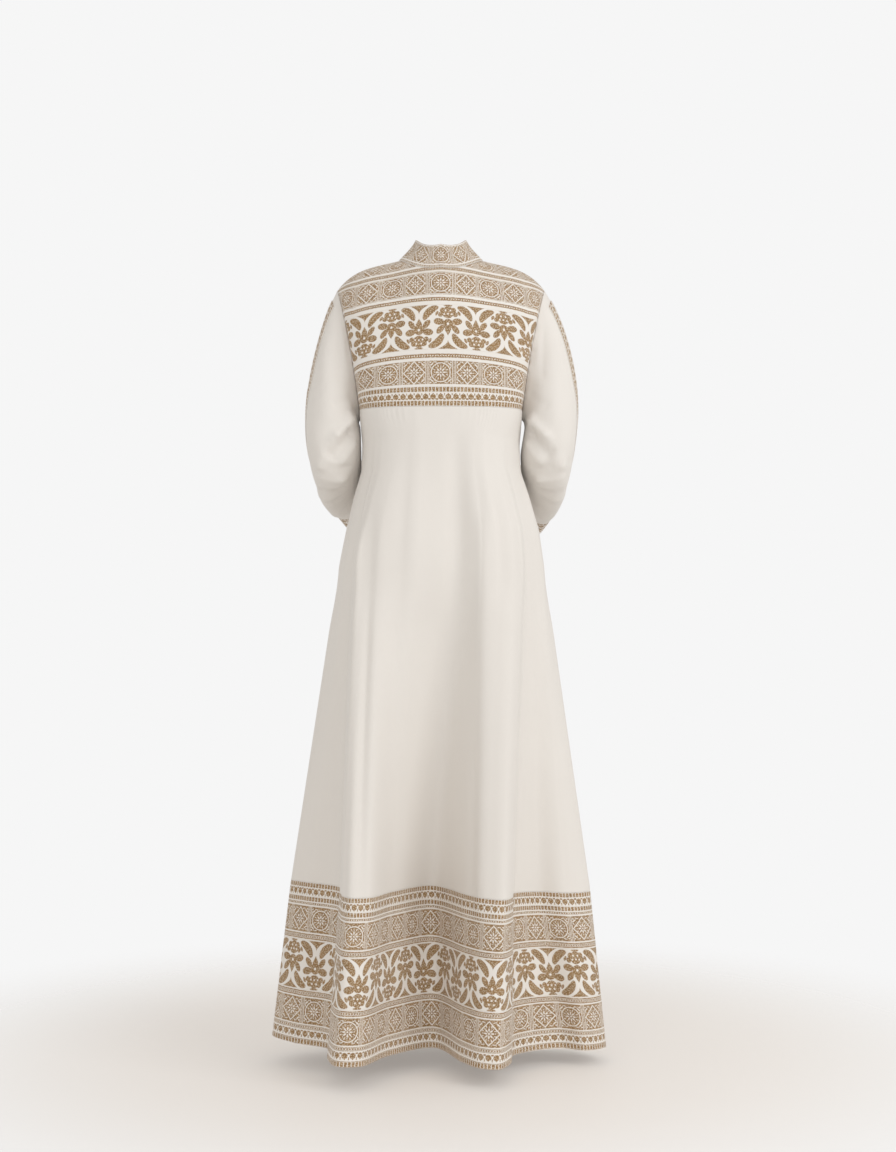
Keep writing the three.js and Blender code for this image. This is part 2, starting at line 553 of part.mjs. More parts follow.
for (const side of SIDES) {
  const rings = sleeveRings(side);
  const lines = Object.fromEntries(
    ["over", "under", "back", "front"].map((name) => [
      name,
      new THREE.CatmullRomCurve3(rings.map((ring) => vec(ring[name])), false, "centripetal"),
    ]),
  );
  const bare = (deg, t) => {
    const at = (name) => lines[name].getPoint(clamp01(t)).toArray();
    const p = ovalPoint({ over: at("over"), under: at("under"), back: at("back"), front: at("front") }, deg);
    p.x += SEAM + 0.15;
    return p;
  };
  const normal = (deg, t) => surfaceNormal(bare, deg, THREE.MathUtils.clamp(t, 0.004, 0.996), 1, 0.5, 0.004);
  const outwardSign = (() => {
    const centre = bare(0, 0.4).add(bare(180, 0.4)).multiplyScalar(0.5);
    return Math.sign(normal(0, 0.4).dot(bare(0, 0.4).sub(centre)));
  })();
  const surface = (deg, t) => {
    const outward = normal(deg, t).multiplyScalar(outwardSign);
    const p = bare(deg, t);
    return { p: p.addScaledVector(outward, creaseHeight(p, SLEEVE_CREASES) * smooth(t * 12)), outward };
  };
  const columns = range(AROUND_SLEEVE, 0, -360).slice(0, -1);
  const stripEdge = (t) => mix(STRIP_EDGE.upper, STRIP_EDGE.lower, smooth((t - STRIP_EDGE.from) / (STRIP_EDGE.to - STRIP_EDGE.from)));
  const place = (p) => new THREE.Vector3(side.sign * p.x, p.y, p.z);
  const row = (t, degs, raised, thick) =>
    degs.map((fromEdge) => {
      const deg = fromEdge + stripEdge(t);
      const { p, outward } = surface(deg, t);
      const outer = p.clone().addScaledVector(outward, raised);
      const turned = THREE.MathUtils.euclideanModulo(deg + 180, 360) - 180;
      const inward = t === 0 ? armholeInward(turned, -1) : outward.clone().negate();
      const inner = outer.clone().addScaledVector(inward, thick);
      return { u: -fromEdge, outer: place(outer), inner: place(inner) };
    });
  const seamT = CUFF_SEAM / CUFF_EDGE;
  const seamStep = HALF_SEAM / bare(0, seamT - 0.01).distanceTo(bare(0, seamT)) / 100;
  const armTs = range(16, 0, seamT - seamStep);
  const cuffTs = range(2, seamT + seamStep, 1);
  addPiece("sleeve_" + side.name, clothWall(armTs.map((t) => row(t, columns, 0, WALL)), { tube: true }), CREAM);
  addPiece("cuff_" + side.name, clothWall(cuffTs.map((t) => row(t, columns, 0, WALL)), { tube: true }), PATTERNED);
  const stripColumns = columns.slice(0, STRIP_RUNS + 1);
  const stripRows = armTs.slice(1).map((t) => row(t, stripColumns, SEAM + BAND_WALL, BAND_WALL));
  addPiece("overarm_band_" + side.name, clothWall(stripRows), PATTERNED);
}

export default garment;
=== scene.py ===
"""A long cream abaya in its worn, hollow form, seen from behind: patterned yokes and collar, a
gathered A-line skirt with a deep patterned border, bell sleeves with cuffs and overarm strips.
Lengths are millimetres in the cloth's own functions and metres in Blender."""

import math

import bpy
import numpy as np
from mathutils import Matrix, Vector


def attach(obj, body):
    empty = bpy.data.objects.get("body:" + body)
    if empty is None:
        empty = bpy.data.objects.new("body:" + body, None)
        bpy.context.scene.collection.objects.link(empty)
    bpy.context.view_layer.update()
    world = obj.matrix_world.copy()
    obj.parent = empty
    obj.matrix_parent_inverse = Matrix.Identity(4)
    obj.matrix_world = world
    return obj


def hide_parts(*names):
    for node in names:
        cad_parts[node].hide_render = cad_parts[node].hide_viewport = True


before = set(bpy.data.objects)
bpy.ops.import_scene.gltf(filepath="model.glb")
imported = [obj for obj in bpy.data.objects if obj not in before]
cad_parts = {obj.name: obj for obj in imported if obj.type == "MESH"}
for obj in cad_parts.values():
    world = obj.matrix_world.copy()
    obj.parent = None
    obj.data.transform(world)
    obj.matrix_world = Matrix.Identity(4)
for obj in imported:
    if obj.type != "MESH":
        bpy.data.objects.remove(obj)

bl_info = {
    "name": "Patterned Abaya",
    "version": (1, 0, 0),
    "blender": (4, 5, 0),
    "location": "3D View > Sidebar > Abaya",
    "description": "Builds a long abaya of thin cloth with patterned bands",
    "category": "Add Mesh",
}

MM = 0.001
HALF_SEAM = 0.15
RIM_LINE = 0.5  # how far inside an open edge the extra line of points lies
BAND_WALL = 1.2  # thickness of the strip on each overarm
THREAD = 1.1  # from one thread of the weave to the next but one

# Shape of the yokes, in millimetres. The garment's left is +X and its back is +Y.
YOKE_BOTTOM_Z = -273
BACK_DEPTH = 118
FRONT_DEPTH = 128
NECK_HALF = 79
NECK_BACK = 86
NECK_FRONT = 90
COLLAR_TALL = 50
COLLAR_LEAN_SIDE, COLLAR_LEAN_BACK, COLLAR_LEAN_FRONT = 39, 26, 33
COLLAR_GAP = 0.4  # between the collar's lower edge and the yokes
COLLAR_HOLLOW = 0.12  # how much the collar's line curves in, as a share of its reach
SHOULDER_HALF = 191
SHOULDER_Z = 5
SHOULDER_SLOPE = 0.2
TIP_DROP = 30
CORNER_DEG = 155
YOKE_SQUARE = 2.5
ARMPIT_DEG = 10
BAND_DROP = 12  # how far the yoke's upper bands sag from the centre to the armholes

# Shape of the skirt
HIP_Z = -560
BORDER_Z = -1147
HEM_Z = -1436
HEM_TILT = 0.037
FOLDS_BEGIN_Z = -290
FOLD_BLEND_TOP = -470
FOLD_BLEND_BOTTOM = -680
EDGE_SETTLE = 60  # height over which the skirt leaves the yoke's line for the torso's

ARMHOLE = ((191, 0, -47.4), (148, 0, -285), (166, 50, -160), (166, -50, -160))

# Torso rings: height, half width, shift, depth behind, depth before, squareness
TORSO = np.array([
    (-273, 148, 0, 118, 128, 2.5),
    (-330, 145, 0, 119, 129, 2.45),
    (-382, 147, 0, 121, 130, 2.4),
    (-430, 162, -1, 125, 134, 2.35),
    (-490, 178, -3, 130, 138, 2.3),
    (-560, 190, -1, 134, 142, 2.25),
], float)

# Folds: degrees at the yoke and at the hip, how far out at the hip, place at the border and hem
FOLDS = np.array([
    (0, 0, 0, 279, -4, 314, -4),  # left side seam
    (16, 17, -3, 247, 24, 270, 56),
    (34, 30, -6, 187, 64, 204, 96),
    (41, 36, 4, 179, 142, 200, 174),
    (49, 46, 14, 160, 200, 180, 230),  # left crest
    (59, 57, 14, 128, 192, 142, 226),
    (72, 72, 1, 84, 98, 92, 132),
    (96, 98, -18, 17, 6, 13, 56),  # back valley
    (110, 110, -2, -50, 112, -38, 160),
    (118, 118, 9, -84, 150, -68, 202),
    (127, 127, 12, -112, 155, -100, 208),  # right crest
    (137, 136, 5, -129, 116, -124, 158),
    (144, 144, -5, -134, 62, -134, 88),
    (154, 153, -4, -178, 36, -217, 26),
    (167, 166, 0, -226, 42, -266, 38),
    (180, 180, 0, -275, 0, -305, -5),  # right side seam
    (196, 196, 1, -236, -66, -258, -82),
    (213, 213, -4, -180, -90, -194, -102),
    (229, 229, 7, -138, -142, -148, -166),
    (242, 242, 7, -94, -160, -102, -188),
    (256, 256, -3, -44, -136, -48, -154),
    (270, 270, 0, 0, -146, 0, -168),  # centre front
    (285, 285, -4, 46, -132, 52, -148),
    (298, 298, 8, 90, -160, 98, -190),
    (311, 311, 8, 132, -150, 144, -176),
    (328, 328, -5, 178, -92, 192, -102),
    (344, 344, 2, 240, -58, 264, -74),
], float)
YOKE_DEG, HIP_DEG, OUT, BORDER_X, BORDER_Y, HEM_X, HEM_Y = range(7)
ROUND = len(FOLDS)
RIGHT_SEAM = 15
CENTRE_FRONT = 21

# Large creases, as in the solid: ends, half width, height
CREASES = (
    ((128, 118, -420), (142, 195, -1180), 11, -7),
    ((146, 100, -470), (166, 178, -1180), 9, 5),
    ((-80, 120, -470), (-74, 138, -1180), 16, 6),
    ((-30, 128, -330), (-22, 118, -760), 18, -7),
)
SLEEVE_CREASES = (
    ((158, 52, -282), (194, 60, -322), 9, 7),
    ((188, 58, -316), (224, 46, -380), 11, 6),
    ((162, 46, -310), (200, 56, -362), 12, -8),
    ((160, 26, -404), (224, 30, -388), 9, 7),
    ((164, 2, -424), (222, 2, -412), 10, -6),
    ((170, -62, -318), (244, -50, -330), 14, -9),
    ((216, -20, -420), (196, -120, -452), 16, 6),
)
# Finer creases that only the looks carry
FINE_CREASES = (
    ((115, 112, -274), (152, 98, -430), 9, 3.4),
    ((127, 106, -274), (165, 84, -430), 10, -3.4),
    ((152, 98, -420), (163, 122, -660), 11, 2.8),
    ((165, 84, -420), (176, 104, -660), 12, -2.8),
    ((86, 118, -280), (100, 138, -520), 12, -1.8),
    ((40, 124, -290), (52, 132, -640), 15, 1.6),
    ((-96, 118, -290), (-112, 132, -600), 12, -2.0),
    ((-70, 120, -300), (-84, 138, -640), 14, 1.8),
    ((-128, 92, -300), (-152, 80, -520), 10, 2.2),
    ((-150, 40, -330), (-196, 38, -760), 15, 2.2),
    ((166, 30, -330), (216, 36, -780), 14, -2.0),
    ((232, 34, -860), (262, 40, -1240), 16, 2.0),
    ((-200, 44, -820), (-236, 40, -1260), 18, -2.2),
    ((60, 122, -620), (70, 128, -1000), 16, 1.8),
    ((-60, -138, -320), (-84, -160, -900), 12, -2.0),
    ((62, -138, -330), (82, -158, -860), 12, -2.0),
    ((-150, -96, -340), (-206, -76, -1000), 15, 2.4),
    ((150, -96, -350), (208, -76, -940), 15, 2.2),
    ((14, -142, -420), (18, -156, -1100), 12, 1.4),
    ((-20, -142, -380), (-26, -152, -1000), 12, 1.4),
)
FINE_SLEEVE_CREASES = (
    ((176, 48, -84), (172, 60, -190), 7, 1.6),
    ((190, 50, -90), (184, 62, -220), 8, -1.6),
    ((214, 46, -140), (206, 64, -290), 13, 1.8),
    ((160, 48, -246), (196, 62, -268), 8, -1.4),
    ((152, 36, -284), (202, 66, -328), 7, 3.2),
    ((158, 32, -308), (208, 64, -354), 10, -4.0),
    ((206, 56, -330), (232, 40, -374), 8, -2.4),
    ((156, 36, -330), (182, 52, -372), 8, 2.4),
    ((160, 34, -380), (206, 48, -374), 7, -3.0),
    ((164, 14, -416), (230, 12, -402), 6, 2.6),
    ((176, -20, -434), (222, -44, -434), 7, -2.6),
    ((170, -56, -442), (206, -84, -444), 7, 2.2),
    ((238, 24, -230), (238, 34, -352), 11, 1.8),
    ((206, -40, -150), (214, -56, -280), 11, 1.8),
    ((230, -30, -220), (232, -52, -310), 10, -1.8),
)

# Left sleeve, section by section: overarm, underarm, back and front point
SLEEVE = np.array([
    ARMHOLE,
    ((207, 0, -82), (151, 1, -291), (181, 56, -186), (180, -55, -184)),
    ((223, 2, -132), (149, 3, -300), (190, 61, -216), (189, -58, -212)),
    ((240, 4, -205), (147.8, 5, -311), (197, 65, -256), (196, -58, -248)),
    ((248, 7, -272), (147, 6, -330), (203, 67, -306), (203, -56, -292)),
    ((247, 2, -326), (147, -4, -352), (207, 62, -358), (206, -66, -322)),
    ((239, -26, -368), (148.5, -34, -378), (208, 32, -405), (200, -84, -335)),
    ((224, -72, -392), (147, -80, -396), (205, -46, -440), (186, -106, -340)),
    ((215, -108, -401), (139, -113, -405), (196, -98, -455), (171, -131, -345)),
    ((202, -140, -408), (129, -144, -412), (187, -138, -464), (158, -153, -349)),
    ((186, -190, -418), (113, -192, -424), (174, -192, -482), (143, -193, -355)),
], float)
CUFF_SEAM = 9
CUFF_EDGE = 10
SLEEVE_GAP = 0.45  # between the sleeve's root and the armhole
# Rear edge of the overarm strip, in degrees behind the overarm line: at the shoulder, past the elbow,
# and the shares of the sleeve's length between which it turns
STRIP_EDGE = (32, 6, 0.25, 0.6)
STRIP_DEG = 75
# Sign, fuller cap, lower cuff, wider reach and clearance at the bend of each sleeve
SIDES = {"left": (1, 0, 0, 0, 0), "right": (-1, 7, 10, 10, 5)}

# Gathers under the yokes: count, first and last fold, depth, length
BACK_GATHERS = (22, 3.4, 10.4, 0.24, 40)
RIGHT_FRONT_GATHERS = (8, 17.5, 20.2, 0.24, 40)
LEFT_FRONT_GATHERS = (8, 21.8, 24.5, 0.24, 40)


def mix(a, b, t):
    return a + (b - a) * t


def smooth(t):
    t = np.clip(t, 0, 1)
    return t * t * (3 - 2 * t)


def stack(x, y, z):
    return np.stack(np.broadcast_arrays(x, y, z), axis=-1).astype(float)


def unit(v):
    return v / np.maximum(np.linalg.norm(v, axis=-1, keepdims=True), 1e-12)


def oval(over, under, back, front, deg):
    """Point of a closed oval through four points, from the overarm point towards the back one."""
    c = np.cos(np.radians(deg))[..., None]
    s = np.sin(np.radians(deg))[..., None]
    swing = (over - under) / 2 * c + (back - front) / 2 * s
    return (over + under) / 2 * c * c + (back + front) / 2 * s * s + swing


def armhole(deg):
    return oval(*(np.array(p, float) for p in ARMHOLE), deg)


def armhole_at(z, side):
    low = np.zeros_like(z)
    high = np.full_like(z, 180.0)
    for _ in range(40):
        middle = (low + high) / 2
        above = armhole(middle)[..., 2] > z
        low, high = np.where(above, middle, low), np.where(above, high, middle)
    return armhole(side * low)


def ridge_z(x):
    past = np.maximum(0, (np.abs(x) - NECK_HALF) / (SHOULDER_HALF - NECK_HALF))
    return SHOULDER_Z - SHOULDER_SLOPE * (np.abs(x) - NECK_HALF) - TIP_DROP * past**4


def shoulder_point(s, h, side):
    """The rounded shoulder surface: s from armhole to armhole, h from the yoke's edge to the ridge."""
    s, h = np.broadcast_arrays(np.asarray(s, float), np.asarray(h, float))
    edge = armhole_at(mix(YOKE_BOTTOM_Z, ARMHOLE[0][2], h), side)
    depth = BACK_DEPTH if side > 0 else FRONT_DEPTH
    square = mix(3.2 if side > 0 else 2.1, 2.3, smooth(np.abs(s) / 0.6))
    stand = depth * (1 - np.clip(h, 0, 1) ** square) ** (1 / square)
    bulge = np.maximum(0, 1 - np.abs(s) ** YOKE_SQUARE) ** (1 / YOKE_SQUARE)
    edge_y = np.abs(edge[..., 1])
    y = side * mix(edge_y, np.maximum(stand, edge_y), bulge)
    return stack(s * edge[..., 0], y, mix(YOKE_BOTTOM_Z, ridge_z(s * SHOULDER_HALF), h))


def neckline_height(s, side):
    deep = NECK_BACK if side > 0 else NECK_FRONT

    def inside(h):
        p = shoulder_point(s, h, side)
        return (p[..., 0] / NECK_HALF) ** 2 + (p[..., 1] / deep) ** 2 < 1

    low = np.full_like(s, 0.3)
    high = np.ones_like(s)
    cut = inside(high)
    for _ in range(40):
        middle = (low + high) / 2
        within = inside(middle)
        high, low = np.where(within, middle, high), np.where(within, low, middle)
    return np.where(cut, low, 1.0)


def neckline_point(deg):
    out = np.zeros(deg.shape + (3,))
    for side in (1, -1):
        here = (np.sin(np.radians(deg)) >= 0) == (side > 0)
        x = NECK_HALF * np.cos(np.radians(deg[here]))
        low, high = np.full_like(x, -1.0), np.ones_like(x)
        for _ in range(40):
            middle = (low + high) / 2
            under = shoulder_point(middle, neckline_height(middle, side), side)[..., 0] < x
            low, high = np.where(under, middle, low), np.where(under, high, middle)
        out[here] = shoulder_point(low, neckline_height(low, side), side)
    return out


def crease_height(p, creases, scale=1.0):
    """How far the creases near each point raise it."""
    total = np.zeros(p.shape[:-1])
    for start, end, wide, high in creases:
        start = np.array(start, float)
        line = np.array(end, float) - start
        t = ((p - start) @ line) / (line @ line)
        near = start + np.clip(t, 0, 1)[..., None] * line
        fade = smooth(t / 0.2 + 0.5) * smooth((1 - t) / 0.2 + 0.5)
        total += scale * high * fade * np.exp(-((np.linalg.norm(p - near, axis=-1) / wide) ** 2))
    return total


def torso_column(k, z):
    return np.interp(-z, -TORSO[:, 0], TORSO[:, k])


def torso_ring(z, deg):
    c, s = np.cos(np.radians(deg)), np.sin(np.radians(deg))
    power = 2 / torso_column(5, z)
    depth = np.where(s > 0, torso_column(3, z), torso_column(4, z))
    x = torso_column(2, z) + torso_column(1, z) * np.sign(c) * np.abs(c) ** power
    return stack(x, depth * np.sign(s) * np.abs(s) ** power, z)


def yoke_edge(deg):
    """The line that the skirt's upper edge follows."""
    turn = np.mod(deg, 360)
    from_left = np.minimum(turn, 360 - turn)
    from_right = np.abs(turn - 180)
    side = np.where(turn <= 180, 1.0, -1.0)
    nearest = np.minimum(from_left, from_right)
    facing = np.where(from_left < from_right, 1.0, -1.0)
    low = armhole(180 - (180 - CORNER_DEG) * np.minimum(nearest / ARMPIT_DEG, 1))
    corner = armhole(np.array(float(CORNER_DEG)))
    along = np.radians((np.maximum(nearest, ARMPIT_DEG) - ARMPIT_DEG) * (90 / (90 - ARMPIT_DEG)))
    depth = np.where(side > 0, BACK_DEPTH, FRONT_DEPTH)
    x = corner[0] * np.maximum(np.cos(along), 0) ** (2 / YOKE_SQUARE)
    y = corner[1] + (depth - corner[1]) * np.sin(along) ** (2 / YOKE_SQUARE)
    under = nearest < ARMPIT_DEG
    return stack(
        facing * np.where(under, low[..., 0], x),
        side * np.where(under, np.abs(low[..., 1]), y),
        np.where(under, np.minimum(low[..., 2], YOKE_BOTTOM_Z), YOKE_BOTTOM_Z),
    )


def fold_value(i, k):
    turns = 360.0 * np.floor_divide(i, ROUND) if k in (YOKE_DEG, HIP_DEG) else 0.0
    return FOLDS[np.mod(i, ROUND), k] + turns


def fold_at(i, z):
    deg = FOLDS[np.mod(i, ROUND), HIP_DEG]
    hip = torso_ring(np.full(i.shape, float(HIP_Z)), deg)[..., :2]
    outward = np.stack([np.cos(np.radians(deg)), np.sin(np.radians(deg))], -1)
    hip = hip + fold_value(i, OUT)[..., None] * outward
    border = np.stack([fold_value(i, BORDER_X), fold_value(i, BORDER_Y)], -1)
    hem = np.stack([fold_value(i, HEM_X), fold_value(i, HEM_Y)], -1)
    upper = ((HIP_Z - z) / (HIP_Z - BORDER_Z))[..., None]
    lower = ((BORDER_Z - z) / (BORDER_Z - HEM_Z))[..., None]
    return np.where(z[..., None] > BORDER_Z, mix(hip, border, upper), mix(border, hem, lower))


def spline(p0, p1, p2, p3, f):
    """Centripetal Catmull-Rom curve from p1 to p2."""
    def step(a, b):
        return np.sum((b - a) ** 2, axis=-1, keepdims=True) ** 0.25

    d1 = np.maximum(step(p1, p2), 1e-4)
    d0 = step(p0, p1)
    d2 = step(p2, p3)
    d0 = np.where(d0 < 1e-4, d1, d0)
    d2 = np.where(d2 < 1e-4, d1, d2)
    t1 = ((p1 - p0) / d0 - (p2 - p0) / (d0 + d1) + (p2 - p1) / d1) * d1
    t2 = ((p2 - p1) / d1 - (p3 - p1) / (d1 + d2) + (p3 - p2) / d2) * d1
    f = f[..., None]
    return p1 + t1 * f + (3 * (p2 - p1) - 2 * t1 - t2) * f**2 + (2 * (p1 - p2) + t1 + t2) * f**3


def skirt_point(w, z):
    """The skirt's surface: w counts the folds round, z is the height."""
    w, z = np.broadcast_arrays(np.asarray(w, float), np.asarray(z, float))
    i = np.floor(w).astype(int)
    f = w - i
    drop = smooth((YOKE_BOTTOM_Z - z) / (YOKE_BOTTOM_Z - HIP_Z))
    yoke_deg = mix(fold_value(i, YOKE_DEG), fold_value(i + 1, YOKE_DEG), f)
    deg = mix(yoke_deg, mix(fold_value(i, HIP_DEG), fold_value(i + 1, HIP_DEG), f), drop)
    edge = yoke_edge(yoke_deg)
    settle = smooth((edge[..., 2] - z) / EDGE_SETTLE)[..., None]
    p = mix(edge, torso_ring(np.minimum(z, YOKE_BOTTOM_Z), deg), settle)
    begun = smooth((FOLDS_BEGIN_Z - z) / (FOLDS_BEGIN_Z - HIP_Z))
    out = mix(fold_value(i, OUT), fold_value(i + 1, OUT), smooth(f)) * begun
    p[..., 0] += out * np.cos(np.radians(deg))
    p[..., 1] += out * np.sin(np.radians(deg))
    p[..., 2] = z
    folded = spline(*(fold_at(i + k, z) for k in (-1, 0, 1, 2)), f)
    blend = smooth((FOLD_BLEND_TOP - z) / (FOLD_BLEND_TOP - FOLD_BLEND_BOTTOM))[..., None]
    p[..., :2] = mix(p[..., :2], folded, blend)
    return p


def skirt_normal(w, z):
    across = skirt_point(w + 0.01, z) - skirt_point(w - 0.01, z)
    up = skirt_point(w, z + 1) - skirt_point(w, z - 1)
    return unit(np.cross(across, up))


def gather_height(w, below, gathers):
    count, first, last, deep, long = gathers
    t = (w - first) / (last - first)
    ends = smooth(t * 8) * smooth((1 - t) * 8)
    along = (0.25 + 0.75 * smooth(below / 9)) * (1 - smooth(below / long))
    uneven = 0.85 + 0.3 * np.sin(2.3 * w + 1.1)
    return np.where((t >= 0) & (t <= 1), deep * uneven * ends * along * np.cos(2 * math.pi * count * t), 0)


def hem_lines(grids, axis):
    """The grids with one more line just inside each end, so that the rim doesn't bend the shading."""
    made, shares = [], []
    for end, next_to_it in ((0, 1), (-1, -2)):
        step = np.take(grids[0], next_to_it, axis) - np.take(grids[0], end, axis)
        shares.append(min(0.5, RIM_LINE / np.linalg.norm(step, axis=-1).mean()))
    for grid in grids:
        first = mix(np.take(grid, [0], axis), np.take(grid, [1], axis), shares[0])
        last = mix(np.take(grid, [-1], axis), np.take(grid, [-2], axis), shares[1])
        made.append(np.concatenate([
            np.take(grid, [0], axis), first, np.delete(grid, [0, -1], axis), last, np.take(grid, [-1], axis)
        ], axis=axis))
    return made


def shell_mesh(name, outer, inner, uv, tube=False):
    """A closed thin shell of cloth from two grids of points, with its lie on the cloth as UV in metres."""
    for axis in ((0,) if tube else (0, 1)):
        outer, inner, uv = hem_lines((outer, inner, uv), axis)
    rows, columns = outer.shape[:2]
    count = rows * columns
    points = np.concatenate([outer.reshape(-1, 3), inner.reshape(-1, 3)]) * MM
    index = np.arange(count).reshape(rows, columns)
    if tube:
        index = np.concatenate([index, index[:, :1]], axis=1)
    a, b, c, d = index[:-1, :-1], index[:-1, 1:], index[1:, 1:], index[1:, :-1]
    faces = [np.stack([a, b, c, d], -1).reshape(-1, 4), np.stack([d, c, b, a], -1).reshape(-1, 4) + count]
    wall_faces = 2 * a.size

    def rim(line, turned):
        p, q = line[:-1], line[1:]
        quad = np.stack([p, p + count, q + count, q], -1)
        faces.append(quad[:, ::-1] if turned else quad)

    rim(index[0], False)
    rim(index[-1], True)
    if not tube:
        rim(index[:, 0], True)
        rim(index[:, -1], False)
    faces = np.concatenate(faces)
    quads = points[faces]
    volume = np.sum(np.cross(quads[:, 1] - quads[:, 0], quads[:, 3] - quads[:, 0]) * quads[:, 0])
    if volume < 0:
        faces = faces[:, ::-1]
    mesh = bpy.data.meshes.new(name)
    mesh.from_pydata(points.tolist(), [], faces.tolist())
    lie = uv.reshape(-1, 2) * MM
    layer = mesh.uv_layers.new(name="Cloth")
    corner = np.empty(len(mesh.loops), int)
    mesh.loops.foreach_get("vertex_index", corner)
    coords = lie[np.mod(corner, count)]
    if tube:
        width = lie[:, 0].max() - lie[:, 0].min()
        step = width / columns
        per_face = coords.reshape(-1, 4, 2)
        wraps = (per_face[..., 0].max(axis=1) - per_face[..., 0].min(axis=1)) > width / 2
        low = per_face[..., 0] < lie[:, 0].min() + width / 2
        per_face[..., 0] += np.where(wraps[:, None] & low, width + step, 0)
        coords = per_face.reshape(-1, 2)
    layer.data.foreach_set("uv", coords.astype(np.float32).ravel())
    mesh.shade_smooth()
    mesh.polygons.foreach_set("use_smooth", np.arange(len(mesh.polygons)) < wall_faces)
    mesh.validate()
    made = bpy.data.objects.new(name, mesh)
    bpy.context.scene.collection.objects.link(made)
    return made


def finish_piece(made, node, material):
    made.data.materials.append(material)
    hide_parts(node)
    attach(made, "root")


def path_length(points, axis):
    step = np.linalg.norm(np.diff(points, axis=axis), axis=-1)
    pad = [(0, 0), (0, 0)]
    pad[axis] = (1, 0)
    return np.pad(np.cumsum(step, axis=axis), pad)


def flat_cut(outer):
    """Width, length and area, in metres, of the piece of cloth that a grid of points was cut from."""
    across = path_length(outer, 1)[:, -1].max()
    along = path_length(outer, 0)[-1].max()
    a, b = outer[1:, :-1] - outer[:-1, :-1], outer[:-1, 1:] - outer[:-1, :-1]
    c, d = outer[:-1, 1:] - outer[1:, 1:], outer[1:, :-1] - outer[1:, 1:]
    area = (np.linalg.norm(np.cross(a, b), axis=-1).sum() + np.linalg.norm(np.cross(c, d), axis=-1).sum()) / 2
    width, length = across * MM, along * MM
    return (width, length), min(area * MM * MM, width * length)


def yoke_grid(side, s_values, v_values):
    """Outer points of a yoke, its edges' inward directions, and how far up the cloth each lies."""
    s, v = np.meshgrid(s_values, v_values)
    top = np.broadcast_to(neckline_height(s_values, side), s.shape)
    h = v * top
    outer = shoulder_point(s, h, side)
    ds = 0.004
    across = shoulder_point(np.clip(s + ds, -1, 1), h, side) - shoulder_point(np.clip(s - ds, -1, 1), h, side)
    hh = np.minimum(h, 0.985)
    above, under = (shoulder_point(s, np.clip(hh + step, 0, 1), side) for step in (0.008, -0.008))
    upward = above - under
    inward = -unit(np.cross(across, upward))
    inward = np.where(inward[..., 1:2] * side > 0, -inward, inward)
    at_shoulder = (top > 0.999) & (v > 0.9999)
    outer[..., 1] += np.where(at_shoulder, side * HALF_SEAM, 0)
    inward = np.where(at_shoulder[..., None], np.array([0.0, 0.0, -1.0]), inward)
    end = np.abs(s) > 0.999
    lowest = np.clip((outer[..., 2] - ARMHOLE[0][2]) / (YOKE_BOTTOM_Z - ARMHOLE[0][2]), 0, 1)
    turn = np.arccos(1 - lowest * (1 - math.cos(math.radians(CORNER_DEG))))
    facing = smooth((np.degrees(turn) - 100) / 70)
    edge = unit(stack(-facing * np.sign(s), -side * np.abs(np.sin(turn)), -np.maximum(0, np.cos(turn))))
    return outer, np.where(end[..., None], edge, inward), path_length(outer, 0)


def make_yoke(node, side, s_values, wall, material):
    v_values = np.concatenate([np.linspace(0, 0.86, 74), np.linspace(0.86, 1, 27)[1:]])
    outer, inward, up = yoke_grid(side, s_values, v_values)
    if side < 0:
        facing = 1 if s_values[-1] > 0.5 else -1
        middle = np.abs(outer[..., 0]) < 1e-6
        outer[..., 0] += np.where(middle, facing * HALF_SEAM, 0)
        inward[..., 0] = np.where(middle, 0, inward[..., 0])
    across = path_length(outer, 1)
    centre = np.array([np.interp(0, outer[r, :, 0], across[r]) for r in range(len(outer))])
    u = across - centre[:, None]
    sag = BAND_DROP * smooth(up / 80) * np.minimum(1.3, (np.abs(u) / 150) ** 2)
    uv = np.stack([u, up + sag], -1)
    inner = outer + unit(inward) * wall
    inner[0, :, 2] = outer[0, :, 2]
    flat, area = flat_cut(outer)
    made = shell_mesh(node + "_cloth", outer, inner, uv)
    finish_piece(made, node, material)


def make_collar(wall, material):
    deg = np.linspace(-90, 270, 241)
    v = np.linspace(0, 1, 19)[:, None]
    base = neckline_point(np.where(deg == 270, -90, deg))
    s = np.sin(np.radians(deg))
    lean = np.radians(mix(COLLAR_LEAN_SIDE, np.where(s > 0, COLLAR_LEAN_BACK, COLLAR_LEAN_FRONT), s * s))
    outward = unit(base * np.array([1, 1, 0]))
    curve = 1 - COLLAR_HOLLOW * np.sin(math.pi * v)
    reach = (COLLAR_TALL * v * np.sin(lean) / curve)[..., None]
    outer = base[None] - outward[None] * reach
    outer[..., 2] += COLLAR_GAP + COLLAR_TALL * v * np.cos(lean)
    outer[:, 0, 0] += HALF_SEAM
    outer[:, -1, 0] -= HALF_SEAM
    inner = outer - outward[None] * wall
    inner[:, [0, -1], 0] = outer[:, [0, -1], 0]
    u = np.broadcast_to(path_length(outer, 1)[:1], outer.shape[:2])
    u = u - u.max() / 2
    uv = np.stack([u, np.broadcast_to(v * COLLAR_TALL, u.shape)], -1)
    flat, area = flat_cut(outer)
    made = shell_mesh("collar_cloth", outer, inner, uv)
    finish_piece(made, "collar", material)


def skirt_columns(first, last, per_fold, gathers):
    """Places round a panel, closer together where the cloth is gathered."""
    plain = np.linspace(first, last, round((last - first) * per_fold) + 1)
    fine = np.linspace(gathers[1], gathers[2], gathers[0] * 10 + 1)
    return np.sort(np.concatenate([plain[(plain < fine[0] - 0.04) | (plain > fine[-1] + 0.04)], fine]))


